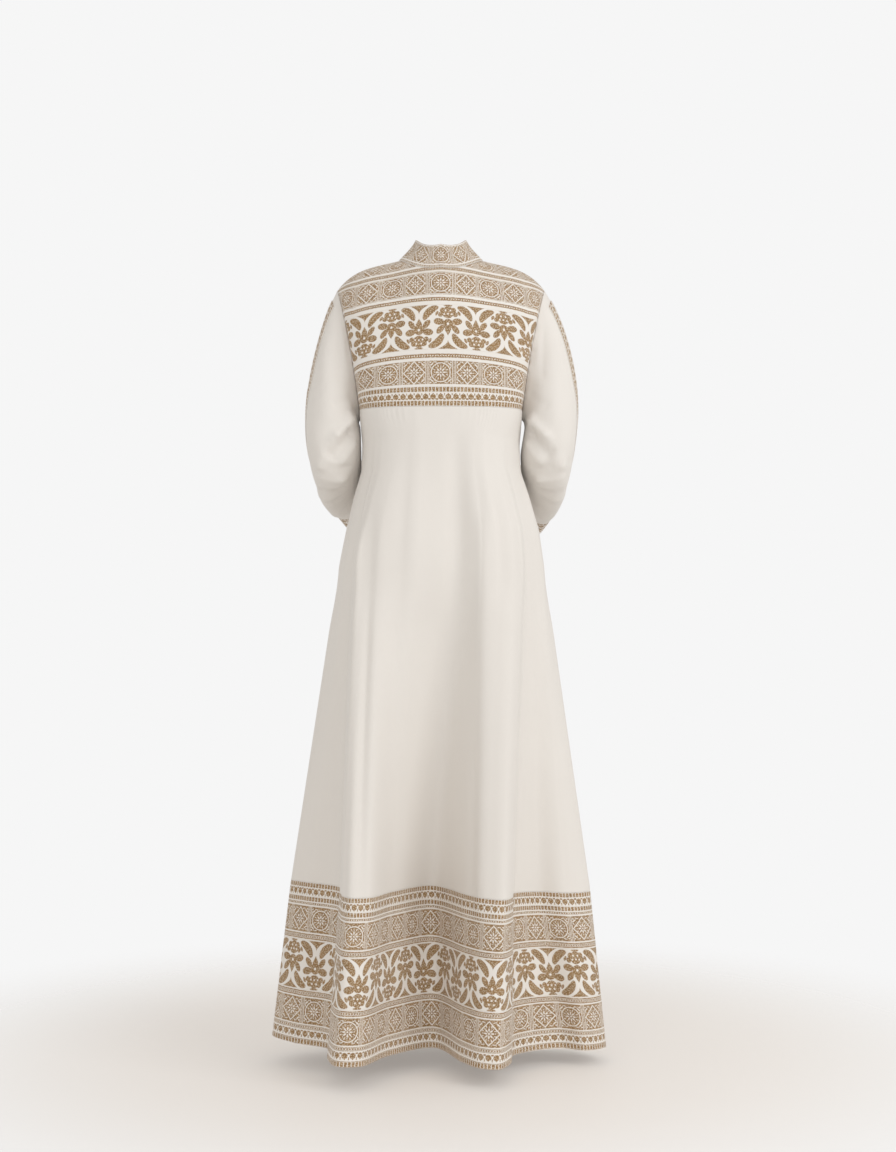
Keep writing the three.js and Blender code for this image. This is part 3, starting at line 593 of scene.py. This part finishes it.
def skirt_top(w):
    i = np.floor(w).astype(int)
    return yoke_edge(mix(fold_value(i, YOKE_DEG), fold_value(i + 1, YOKE_DEG), w - i))[..., 2] - 2 * HALF_SEAM


def tilted(w, z):
    return z + HEM_TILT * skirt_point(w, np.full(w.shape, float(z)))[..., 0]


def panel_rows(w, z, wall, creases, below, gathers):
    """Outer and inner points of a panel over rows of heights."""
    w = np.broadcast_to(w, z.shape)
    per_unit = np.linalg.norm(skirt_point(w + 0.01, z) - skirt_point(w, z), axis=-1) / 0.01
    shift = np.zeros(z.shape)
    shift[:, 0], shift[:, -1] = HALF_SEAM, -HALF_SEAM
    outer = skirt_point(w + shift / per_unit, z)
    outward = skirt_normal(w, z)
    if below is not None:
        outward[0, :, 2] = 0
    outward = unit(outward)
    high = crease_height(outer, CREASES)
    if below is not None:
        high = high + gather_height(w, below, gathers)
    high = high + crease_height(outer, FINE_CREASES, creases)
    outer = outer + outward * high[..., None]
    return outer, outer - outward * wall


def make_panel(node, border_node, first, last, gathers, settings, cream, patterned):
    wall = settings.wall / MM
    w = skirt_columns(first, last, 14, gathers)
    top, seam = skirt_top(w), tilted(w, BORDER_Z)
    below = np.array([0, 2, 4, 6, 9, 13, 18, 24, 31, 38, 46.0])[:, None]
    t = np.linspace(0.06, 1, 84)[:, None]
    z = np.concatenate([top - below, mix(top, seam + HALF_SEAM, t)])
    outer, inner = panel_rows(w, z, wall, settings.creases, top - z, gathers)
    uv = np.stack(np.broadcast_arrays(path_length(outer, 1)[30:31], top - z), -1)
    flat, area = flat_cut(outer)
    skirt = shell_mesh(node + "_cloth", outer, inner, uv)
    finish_piece(skirt, node, cream)

    w = np.linspace(first, last, round((last - first) * 20) + 1)
    seam, hem = tilted(w, BORDER_Z) - HALF_SEAM, tilted(w, HEM_Z)
    z = mix(seam, hem, np.linspace(0, 1, 37)[:, None])
    outer, inner = panel_rows(w, z, wall, settings.creases, None, gathers)
    uv = np.stack(np.broadcast_arrays(path_length(outer, 1)[18:19], seam - z), -1)
    flat, area = flat_cut(outer)
    border = shell_mesh(border_node + "_cloth", outer, inner, uv)
    finish_piece(border, border_node, patterned)


def sleeve_lines(side):
    _, fuller, lower, wider, clear = SIDES[side]
    i = np.arange(len(SLEEVE))
    arm = i / CUFF_EDGE
    cap = smooth(i / 2) * (1 - smooth((i - 3) / 2))
    drop = smooth((arm - 0.5) * 2)
    rings = SLEEVE.copy()
    rings[..., 0] += (wider * drop)[:, None]
    rings[:, 0, 0] += fuller * cap
    rings[:, 1, 0] += clear * smooth((i - 0.5) / 1.5) * (1 - smooth((i - 3) / 2))
    rings[..., 2] -= lower * drop[:, None] * np.array([0.4, 0.4, 1.0, 0.4])
    return rings


def sleeve_bare(rings, deg, t):
    """The sleeve before its creases: deg runs round the arm and t from the armhole to the cuff's edge."""
    last = len(rings) - 1
    place = np.clip(t, 0, 1) * last
    i = np.minimum(np.floor(place).astype(int), last - 1)
    ends = np.concatenate([[2 * rings[0] - rings[1]], rings, [2 * rings[-1] - rings[-2]]])
    corner = [
        spline(ends[i, k], ends[i + 1, k], ends[i + 2, k], ends[i + 3, k], place - i) for k in range(4)
    ]
    p = oval(*corner, deg)
    p[..., 0] += SLEEVE_GAP
    return p


def sleeve_surface(rings, deg, t, creases):
    tt = np.clip(t, 0.004, 0.996)
    across = sleeve_bare(rings, deg + 0.5, tt) - sleeve_bare(rings, deg - 0.5, tt)
    along = sleeve_bare(rings, deg, tt + 0.004) - sleeve_bare(rings, deg, tt - 0.004)
    outward = unit(np.cross(across, along))
    p = sleeve_bare(rings, deg, t)
    centre = (sleeve_bare(rings, np.zeros_like(t), t) + sleeve_bare(rings, np.full_like(t, 180.0), t)) / 2
    if np.mean(np.sum(outward * (p - centre), -1)) < 0:
        outward = -outward
    high = crease_height(p, SLEEVE_CREASES) + crease_height(p, FINE_SLEEVE_CREASES, creases)
    return p + outward * (high * smooth(t * 12))[..., None], outward


def make_sleeve(side, settings, cream, patterned, strip):
    wall = settings.wall / MM
    rings = sleeve_lines(side)
    mirror = np.array([SIDES[side][0], 1, 1])
    seam_t = CUFF_SEAM / CUFF_EDGE
    before, at = (sleeve_bare(rings, np.array(0.0), np.array(x)) for x in (seam_t - 0.01, seam_t))
    step = HALF_SEAM / np.linalg.norm(before - at) / 100
    ring_deg = -np.arange(120) * 3.0
    for node, degs, ts, raised, thick, material, slot in (
        ("sleeve_", ring_deg, np.linspace(0, seam_t - step, 150), 0, wall, cream, "cream_cloth"),
        ("cuff_", ring_deg, np.linspace(seam_t + step, 1, 22), 0, wall, patterned, "patterned_band"),
        ("overarm_band_", -np.linspace(0, STRIP_DEG, 26),
         np.linspace((seam_t - step) / 16, seam_t - step, 140), 2 * HALF_SEAM + BAND_WALL, BAND_WALL,
         strip, "patterned_band"),
    ):
        deg, t = np.meshgrid(degs, ts)
        upper, lower, first, last = STRIP_EDGE
        deg = deg + mix(upper, lower, smooth((t - first) / (last - first)))
        p, outward = sleeve_surface(rings, deg, t, settings.creases)
        outer = p + outward * raised
        inward = -outward
        if node == "sleeve_":
            turned = np.mod(deg[0] + 180, 360) - 180
            facing = smooth((np.abs(turned) - 100) / 70)
            turned = np.radians(turned)
            inward[0] = unit(stack(facing, -np.sin(turned), -np.maximum(0, np.cos(turned))))
        inner = outer + inward * thick
        tube = node != "overarm_band_"
        middle = len(ts) // 2
        u = path_length(outer, 1)[middle : middle + 1]
        down = path_length(outer, 0)[:, :1]
        uv = np.stack(np.broadcast_arrays(u, down), -1)
        if node == "cuff_":
            uv[..., 1] = path_length(outer, 0)
        outer, inner = outer * mirror, inner * mirror
        closed = np.concatenate([outer, outer[:, :1]], axis=1) if tube else outer
        flat, area = flat_cut(closed)
        made = shell_mesh(node + side + "_cloth", outer, inner, uv, tube)
        finish_piece(made, node + side, material)


class Field:
    """A number inside a node tree. Arithmetic on it adds Math nodes."""

    def __init__(self, tree, socket):
        self.tree = tree
        self.socket = socket

    def do(self, operation, *others, clamp=False):
        node = self.tree.nodes.new("ShaderNodeMath")
        node.operation = operation
        node.use_clamp = clamp
        for place, value in zip(node.inputs, (self, *others)):
            if isinstance(value, Field):
                self.tree.links.new(value.socket, place)
            else:
                place.default_value = value
        return Field(self.tree, node.outputs[0])

    def __add__(self, other):
        return self.do("ADD", other)

    def __sub__(self, other):
        return self.do("SUBTRACT", other)

    def __rsub__(self, other):
        return (self * -1) + other

    def __mul__(self, other):
        return self.do("MULTIPLY", other)

    __rmul__ = __mul__

    def __truediv__(self, other):
        return self.do("DIVIDE", other)

    def __abs__(self):
        return self.do("ABSOLUTE")

    def least(self, other):
        return self.do("MINIMUM", other)

    def most(self, other):
        return self.do("MAXIMUM", other)

    def wrap(self, pitch):
        return self.do("WRAP", pitch / 2, -pitch / 2)

    def over(self, limit):
        return self.do("GREATER_THAN", limit)

    def inside(self, soft=0.6):
        """1 where this distance in millimetres is below zero."""
        return self.do("MULTIPLY_ADD", -1 / soft, 0.5, clamp=True)


def length(x, y):
    return (x * x + y * y).do("SQRT")


def disc(x, y, radius):
    return length(x, y) - radius


def leaf(x, y, at, half, turn=0):
    """Distance from an ellipse at a place, with half its length and width, turned by degrees."""
    c, s = math.cos(math.radians(turn)), math.sin(math.radians(turn))
    dx, dy = x - at[0], y - at[1]
    return (length((dx * c + dy * s) / half[0], (dy * c - dx * s) / half[1]) - 1) * min(half)


def petals(x, y, count, middle, half, start=0.0):
    """Distance from a ring of equal petals round the origin."""
    radius = length(x, y)
    sector = 2 * math.pi / count
    angle = (y.do("ARCTAN2", x) - start).wrap(sector)
    return leaf(radius * angle.do("COSINE"), radius * angle.do("SINE"), (middle, 0), half)


def ticks(x, y, half):
    bar = (abs(x.wrap(6.4)) - 2.55).most(abs(y) - (half - 0.9))
    return bar.inside(0.5).most((abs(abs(y) - half) - 0.5).inside(0.5))


def beads(x, y, half):
    cell = x.wrap(13.6)
    drop = disc(cell, y + 0.8, 5.2).least((abs(cell) + (y - 6.4) * 0.7).most(y * -1 + 1))
    stem = (abs((x + 6.8).wrap(13.6)) - 0.9).most(abs(y - 3.6) - (half - 5.2))
    base = (abs((x + 6.8).wrap(13.6)) - 2.2).most(abs(y + half - 2.4) - 1.5)
    return drop.inside().most(stem.inside()).most(base.inside()).most((abs(abs(y) - half) - 0.6).inside())


def studs(x, y, half):
    stud = disc(x.wrap(4.7), y, 1.1).least(abs(abs(y) - (half - 1.0)) - 0.35)
    return stud.inside() * -1 + 1


def tiles(x, y, half):
    """Square tiles with a blossom, framed in turn by a lozenge and a ring, among small leaves."""
    pitch = 48.0
    cx = x.wrap(pitch)
    ax, ay = abs(cx), abs(y)
    odd = (x + pitch / 2).do("WRAP", pitch, -pitch).over(0)
    edge = abs(ax - 21.2) - 0.6
    edge = edge.least(abs(ax - pitch / 2) - 0.45).least(abs(ay - (half - 0.7)) - 0.6)
    lozenge = abs(ax * 0.70 + ay * 0.66 - 13.4) - 0.85
    ring = abs(length(ax, ay) - 17.0) - 0.85
    outline = mix(lozenge, ring, odd)
    blossom = petals(cx, y, 8, 6.2, (3.0, 1.25)).least(disc(cx, y, 1.5))
    blossom = blossom.least(petals(cx, y, 16, 11.2, (1.0, 0.75)))
    blossom = blossom.least(petals(cx, y, 8, 13.2, (1.1, 0.9), math.pi / 8))
    corner = leaf(ax, ay, (15.8, 14.6), (3.8, 1.1), -42).least(disc(ax - 18.2, ay - 18.2, 1.3))
    corner = corner.least(leaf(ax, ay, (18.0, 9.4), (2.6, 0.8), 60))
    corner = corner.least(leaf(ax, ay, (9.4, 18.6), (2.6, 0.8), 20))
    corner = corner.least(disc(ax - 12.6, ay - 18.8, 0.8)).least(disc(ax - 18.8, ay - 13.4, 0.8))
    return edge.least(outline).least(blossom).least(corner).inside(0.7) * -1 + 1


def spray(x, y):
    """Distance from one blossom with a leafy crown over it, and x is already folded at its middle."""
    bent = length(x - 13.8, y - 5.0)
    along = ((y - 5.0).do("ARCTAN2", x - 13.8) - 0.85) * (30.3 / 18.6)
    crown_leaf = (length(along, (bent - 30.0) / 6.6) - 1) * 6.6
    cluster = disc(x, y - 25.5, 10.6).least(disc(x - 9.4, y - 29.0, 5.2)).least(disc(x - 13.4, y - 21.8, 4.4))
    berries = disc(x - 4.4, y - 29.2, 1.7).least(disc(x - 6.8, y - 22.4, 1.6)).least(disc(x, y - 23.0, 1.6))
    cluster = cluster.most(berries * -1).least(leaf(x, y, (20.2, 24.0), (4.4, 2.4), -60))
    bloom = leaf(x, y, (16.4, 9.2), (9.4, 6.0), 8).least(leaf(x, y, (13.8, -4.8), (9.2, 5.0), -50))
    bloom = bloom.least(disc(x, y - 4.6, 9.2)).least(x * 1.05 + abs(y + 5.0) * 0.6 - 6.4)
    bloom = bloom.most(disc(x, y - 5.0, 2.2) * -1)
    tip = leaf(x, y, (0, 37.8), (7.6, 2.0))
    return crown_leaf, cluster.least(bloom).least(tip)


def frieze(x, y, half):
    """Blossoms under leafy crowns, every other one upside down."""
    pitch = 52.5
    x = x + FRIEZE_START
    turned = (x + pitch / 2).do("WRAP", pitch, -pitch).over(0) * -2 + 1
    ax, ay = abs(x.wrap(pitch)), y * turned * (40.5 / half)
    crown, figure = spray(ax, ay)
    next_crown = spray(ax * -1 + pitch, ay * -1)[0]
    depth = ay * (-1 / 15) - 23.0 / 15
    spandrel = (ax - depth * depth * 15.0).most(ay + 23.0)
    drawn = crown.least(figure).least(next_crown).least(spandrel).most(abs(ay) - 39.2)
    return drawn.inside().most((abs(abs(y) - (half - 0.4)) - 0.4).inside())


def new_material(name):
    """An empty node material, with its tree and shader."""
    material = bpy.data.materials.new(name)
    material.use_nodes = True
    tree = material.node_tree
    tree.nodes.clear()
    shader = tree.nodes.new("ShaderNodeBsdfPrincipled")
    output = tree.nodes.new("ShaderNodeOutputMaterial")
    tree.links.new(shader.outputs["BSDF"], output.inputs["Surface"])
    return material, tree, shader


def cloth_fields(tree):
    """Place on the cloth in millimetres, across and along, and the plain UV."""
    lie = tree.nodes.new("ShaderNodeUVMap")
    lie.uv_map = "Cloth"
    parts = tree.nodes.new("ShaderNodeSeparateXYZ")
    tree.links.new(lie.outputs["UV"], parts.inputs[0])
    return Field(tree, parts.outputs[0]) * 1000, Field(tree, parts.outputs[1]) * 1000, lie.outputs["UV"]


def noise(tree, vector, scale, detail=2.0):
    node = tree.nodes.new("ShaderNodeTexNoise")
    node.inputs["Scale"].default_value = scale
    node.inputs["Detail"].default_value = detail
    tree.links.new(vector, node.inputs["Vector"])
    return Field(tree, node.outputs[0])


def mix_color(tree, share, a, b):
    node = tree.nodes.new("ShaderNodeMix")
    node.data_type = "RGBA"
    tree.links.new(share.socket, node.inputs[0])
    for place, value in ((node.inputs[6], a), (node.inputs[7], b)):
        if isinstance(value, bpy.types.NodeSocket):
            tree.links.new(value, place)
        else:
            place.default_value = (*value[:3], 1)
    return node.outputs[2]


def set_cloth(shader):
    shader.inputs["Roughness"].default_value = 0.82
    shader.inputs["Specular IOR Level"].default_value = 0.25
    shader.inputs["Sheen Weight"].default_value = 0.25
    shader.inputs["Sheen Roughness"].default_value = 0.45


def add_weave(tree, shader, u, v, strength):
    """A fine plain weave as a bump, its threads over and under each other."""
    thread = 2 * math.pi / THREAD
    rows = (u * thread).do("SINE") * (v * thread).do("SINE")
    bump = tree.nodes.new("ShaderNodeBump")
    bump.inputs["Strength"].default_value = strength
    bump.inputs["Distance"].default_value = 0.0002
    tree.links.new(rows.socket, bump.inputs["Height"])
    tree.links.new(bump.outputs[0], shader.inputs["Normal"])


def cream_material(settings):
    ready = bpy.data.materials.get("Cream crepe")
    if ready:
        return ready
    material, tree, shader = new_material("Cream crepe")
    set_cloth(shader)
    u, v, lie = cloth_fields(tree)
    cloudy = noise(tree, lie, 9.0)
    slub = noise(tree, lie, 420.0)
    share = (cloudy * 0.5 + slub * 0.5).do("MULTIPLY_ADD", 0.7, 0.1, clamp=True)
    dark = [c * 0.93 for c in settings.cream]
    tree.links.new(mix_color(tree, share, dark, settings.cream), shader.inputs["Base Color"])
    add_weave(tree, shader, u, v, 0.25)
    return material


# Bands of each patterned piece: kind, middle and half height in millimetres along the cloth
YOKE_BANDS = (
    (ticks, 5.2, 5.2), (beads, 17.6, 7.2), (ticks, 30.2, 5.2),
    (tiles, 60.6, 22.2), (studs, 90.6, 4.8), (frieze, 143.0, 41.5),
    (studs, 194.4, 4.2), (tiles, 226.0, 23.6), (studs, 257.0, 5.4), (tiles, 288.0, 22.6), (studs, 317.0, 5.2),
    (ticks, 328.0, 5.0), (studs, 338.6, 4.6), (ticks, 349.0, 5.0),
)
BORDER_BANDS = (
    (ticks, 4.7, 4.7), (beads, 17.0, 7.6), (ticks, 29.6, 4.7), (studs, 37.8, 3.2),
    (tiles, 66.0, 24.4), (studs, 96.6, 5.4), (frieze, 147.4, 44.8), (studs, 198.0, 5.4),
    (tiles, 228.4, 24.6), (studs, 257.4, 4.2), (beads, 269.6, 7.2), (ticks, 283.4, 6.4),
)
COLLAR_BANDS = ((studs, 3.0, 3.0), (tiles, 27.4, 21.0), (ticks, 50.5, 2.2))
CUFF_BANDS = (
    (ticks, 3.6, 3.6), (beads, 13.6, 6.0), (studs, 22.4, 2.8), (beads, 31.2, 6.0), (ticks, 41.2, 4.0),
)
STRIP_BANDS = (
    (ticks, 3.6, 3.6), (beads, 14.0, 6.6), (tiles, 43.0, 22.0), (beads, 72.0, 6.6), (ticks, 82.4, 3.6),
)
FRIEZE_START = 65.5  # puts an upright blossom just beside the middle of the back
RULE = 0.7  # half width of the pale lines between bands


def patterned_material(name, bands, settings, sideways=False):
    """Woven bands in brown on cream, drawn with numbers only."""
    material, tree, shader = new_material(name)
    set_cloth(shader)
    u, v, lie = cloth_fields(tree)
    wobble = noise(tree, lie, 260.0, 1.0)
    across, along = (v, u) if sideways else (u, v)
    across = across + (wobble - 0.5) * 1.2
    along = along + (wobble - 0.5) * 0.9
    ink = None
    for kind in (ticks, beads, studs, tiles, frieze):
        rows = [(middle, half) for k, middle, half in bands if k is kind]
        if not rows:
            continue
        place, inside = None, None
        for middle, half in rows:
            local = along - middle
            within = (abs(local) - (half - RULE)).inside(0.5)
            step = (abs(local) - (half + 0.5)).inside(0.1)
            shifted = local * step
            place = shifted if place is None else place + shifted
            inside = within if inside is None else inside + within
        drawn = kind(across, place, rows[0][1]) * inside
        ink = drawn if ink is None else ink + drawn
    voronoi = tree.nodes.new("ShaderNodeTexVoronoi")
    voronoi.voronoi_dimensions = "2D"
    voronoi.inputs["Scale"].default_value = 330.0
    tree.links.new(lie, voronoi.inputs["Vector"])
    fleck = Field(tree, voronoi.outputs["Distance"]).do("MULTIPLY_ADD", -5.0, 1.75, clamp=True)
    tone = noise(tree, lie, 55.0)
    deep, light = [c * 0.72 for c in settings.brown], [min(1, c * 1.28) for c in settings.brown]
    brown = mix_color(tree, tone, deep, light)
    flecked = mix_color(tree, fleck * settings.flecks, brown, settings.fleck_color)
    share = ink.do("MULTIPLY", 1.0, clamp=True)
    tree.links.new(mix_color(tree, share, settings.cream, flecked), shader.inputs["Base Color"])
    add_weave(tree, shader, u, v, 0.3)
    return material


class AbayaSettings(bpy.types.PropertyGroup):
    """What the panel lets a user change."""

    wall: bpy.props.FloatProperty(
        name="Cloth thickness", description="Thickness of the cloth", default=0.0018, min=0.001, max=0.003,
        unit="LENGTH", precision=4,
    )
    creases: bpy.props.FloatProperty(
        name="Fine creases", description="Depth of the fine creases, as a share of their full depth",
        default=1.0, min=0.0, max=2.0, subtype="FACTOR",
    )
    cream: bpy.props.FloatVectorProperty(
        name="Cloth colour", description="Colour of the plain cloth", default=(0.80, 0.762, 0.717),
        min=0, max=1, subtype="COLOR",
    )
    brown: bpy.props.FloatVectorProperty(
        name="Pattern colour", description="Colour of the woven bands", default=(0.30, 0.184, 0.086),
        min=0, max=1, subtype="COLOR",
    )
    fleck_color: bpy.props.FloatVectorProperty(
        name="Fleck colour", description="Colour of the flecks inside the bands", default=(0.74, 0.64, 0.50),
        min=0, max=1, subtype="COLOR",
    )
    flecks: bpy.props.FloatProperty(
        name="Flecks", description="How strongly the flecks show", default=0.75, min=0.0, max=1.0,
        subtype="FACTOR",
    )
    key_power: bpy.props.FloatProperty(
        name="Key light", description="Power of the large soft light", default=48.0, min=0.0, unit="POWER",
    )
    fill: bpy.props.FloatProperty(
        name="Surround light", description="Brightness of the light from all round", default=0.73,
        min=0.0, max=2.0,
    )


class ABAYA_OT_yokes(bpy.types.Operator):
    """Builds the patterned back and front yokes and the stand collar"""

    bl_idname = "abaya.yokes"
    bl_label = "Yokes and Collar"
    bl_options = {"REGISTER", "UNDO"}

    def execute(self, context):
        settings = context.scene.abaya
        yoke_cloth = patterned_material("Yoke bands", YOKE_BANDS, settings)
        collar_cloth = patterned_material("Collar bands", COLLAR_BANDS, settings)
        wall = settings.wall / MM
        corner = NECK_HALF / SHOULDER_HALF
        half = np.concatenate([np.linspace(0, corner, 44), np.linspace(corner, 1, 56)[1:]])
        make_yoke("yoke_back", 1, np.concatenate([-half[:0:-1], half]), wall, yoke_cloth)
        make_yoke("yoke_front_left", -1, half, wall, yoke_cloth)
        make_yoke("yoke_front_right", -1, -half[::-1], wall, yoke_cloth)
        make_collar(wall, collar_cloth)
        return {"FINISHED"}


class ABAYA_OT_skirt(bpy.types.Operator):
    """Builds the gathered skirt and its deep patterned border"""

    bl_idname = "abaya.skirt"
    bl_label = "Skirt and Border"
    bl_options = {"REGISTER", "UNDO"}

    def execute(self, context):
        settings = context.scene.abaya
        cream = cream_material(settings)
        patterned = patterned_material("Border bands", BORDER_BANDS, settings)
        for side, first, last, gathers in (
            ("back", 0, RIGHT_SEAM, BACK_GATHERS),
            ("front_right", RIGHT_SEAM, CENTRE_FRONT, RIGHT_FRONT_GATHERS),
            ("front_left", CENTRE_FRONT, ROUND, LEFT_FRONT_GATHERS),
        ):
            make_panel("skirt_" + side, "hem_band_" + side, first, last, gathers, settings, cream, patterned)
        return {"FINISHED"}


class ABAYA_OT_sleeves(bpy.types.Operator):
    """Builds the bell sleeves with their cuffs and overarm strips"""

    bl_idname = "abaya.sleeves"
    bl_label = "Sleeves"
    bl_options = {"REGISTER", "UNDO"}

    def execute(self, context):
        settings = context.scene.abaya
        cream = cream_material(settings)
        cuff = patterned_material("Cuff bands", CUFF_BANDS, settings)
        strip = patterned_material("Overarm bands", STRIP_BANDS, settings, sideways=True)
        for side in SIDES:
            make_sleeve(side, settings, cream, cuff, strip)
        return {"FINISHED"}


FLOOR_Z = -1.474
BACKGROUND = 0.922


def add_area(name, place, target, size, power, color=(1, 1, 1)):
    light = bpy.data.lights.new(name, "AREA")
    light.shape = "SQUARE"
    light.size = size
    light.energy = power
    light.color = color
    made = bpy.data.objects.new(name, light)
    made.location = place
    made.rotation_mode = "QUATERNION"
    made.rotation_quaternion = (Vector(target) - Vector(place)).to_track_quat("-Z", "Y")
    bpy.context.scene.collection.objects.link(made)


class ABAYA_OT_stage(bpy.types.Operator):
    """Sets the pale floor, the bright surround, the lights and the camera"""

    bl_idname = "abaya.stage"
    bl_label = "Stage"
    bl_options = {"REGISTER", "UNDO"}

    def execute(self, context):
        settings = context.scene.abaya
        scene = context.scene
        scene.view_settings.view_transform = "Standard"

        material, tree, shader = new_material("Pale floor")
        shader.inputs["Base Color"].default_value = (0.60, 0.575, 0.55, 1)
        shader.inputs["Emission Color"].default_value = (1.0, 0.94, 0.885, 1)
        shader.inputs["Emission Strength"].default_value = 0.25
        shader.inputs["Roughness"].default_value = 0.6
        place = tree.nodes.new("ShaderNodeTexCoord")
        parts = tree.nodes.new("ShaderNodeSeparateXYZ")
        tree.links.new(place.outputs["Object"], parts.inputs[0])
        x, y = (Field(tree, parts.outputs[k]) for k in (0, 1))
        fade = length(x, y + 0.1).do("MULTIPLY_ADD", 1 / 0.9, -0.5, clamp=True)
        fade = fade * fade * (3 - 2 * fade)
        clear = tree.nodes.new("ShaderNodeBsdfTransparent")
        blend = tree.nodes.new("ShaderNodeMixShader")
        tree.links.new(fade.socket, blend.inputs[0])
        tree.links.new(shader.outputs[0], blend.inputs[1])
        tree.links.new(clear.outputs[0], blend.inputs[2])
        output = next(n for n in tree.nodes if n.type == "OUTPUT_MATERIAL")
        tree.links.new(blend.outputs[0], output.inputs["Surface"])
        bpy.ops.mesh.primitive_circle_add(vertices=96, radius=2.4, fill_type="NGON", location=(0, 0, FLOOR_Z))
        floor = bpy.context.object
        floor.name = "Floor"
        floor.data.materials.append(material)

        bpy.ops.mesh.primitive_uv_sphere_add(segments=48, ring_count=24, radius=18)
        dome = bpy.context.object
        dome.name = "Bright surround"
        glow = bpy.data.materials.new("Bright surround")
        glow.use_nodes = True
        glow.node_tree.nodes.clear()
        emission = glow.node_tree.nodes.new("ShaderNodeEmission")
        emission.inputs["Color"].default_value = (BACKGROUND, BACKGROUND, BACKGROUND, 1)
        end = glow.node_tree.nodes.new("ShaderNodeOutputMaterial")
        glow.node_tree.links.new(emission.outputs[0], end.inputs["Surface"])
        dome.data.materials.append(glow)
        dome.visible_diffuse = dome.visible_glossy = dome.visible_shadow = False

        world = bpy.data.worlds.new("Surround")
        world.use_nodes = True
        sky = world.node_tree.nodes["Background"]
        sky.inputs["Color"].default_value = (1.0, 0.975, 0.94, 1)
        sky.inputs["Strength"].default_value = settings.fill
        scene.world = world

        add_area("Key", (-2.6, 2.3, 0.9), (0, 0, -0.7), 2.2, settings.key_power, (0.97, 0.985, 1))
        add_area("Front fill", (0.8, 4.2, 0.6), (0, 0, -0.8), 3.0, settings.key_power * 0.5, (0.97, 0.985, 1))

        camera = bpy.data.cameras.new("Camera")
        camera.sensor_width = 36
        camera.lens = 60.8
        camera.shift_y = 34 / 1152
        view = bpy.data.objects.new("Camera", camera)
        view.location = (-0.013, 3.6, -0.638)
        view.rotation_euler = (math.pi / 2, 0, math.pi)
        scene.collection.objects.link(view)
        scene.camera = view
        return {"FINISHED"}


STEPS = (ABAYA_OT_yokes, ABAYA_OT_skirt, ABAYA_OT_sleeves, ABAYA_OT_stage)


class ABAYA_PT_panel(bpy.types.Panel):
    """Sidebar panel with the settings and the building steps"""

    bl_idname = "ABAYA_PT_panel"
    bl_label = "Patterned Abaya"
    bl_space_type = "VIEW_3D"
    bl_region_type = "UI"
    bl_category = "Abaya"

    def draw(self, context):
        settings = context.scene.abaya
        column = self.layout.column()
        for name in settings.bl_rna.properties.keys():
            if name not in ("rna_type", "name"):
                column.prop(settings, name)
        for step in STEPS:
            column.operator(step.bl_idname)


CLASSES = (AbayaSettings, *STEPS, ABAYA_PT_panel)


def register():
    for cls in CLASSES:
        bpy.utils.register_class(cls)
    bpy.types.Scene.abaya = bpy.props.PointerProperty(type=AbayaSettings)


def unregister():
    del bpy.types.Scene.abaya
    for cls in reversed(CLASSES):
        bpy.utils.unregister_class(cls)


def main():
    register()
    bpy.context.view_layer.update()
    bpy.ops.abaya.yokes()
    bpy.ops.abaya.skirt()
    bpy.ops.abaya.sleeves()
    bpy.ops.abaya.stage()


if __name__ == "__main__":
    main()
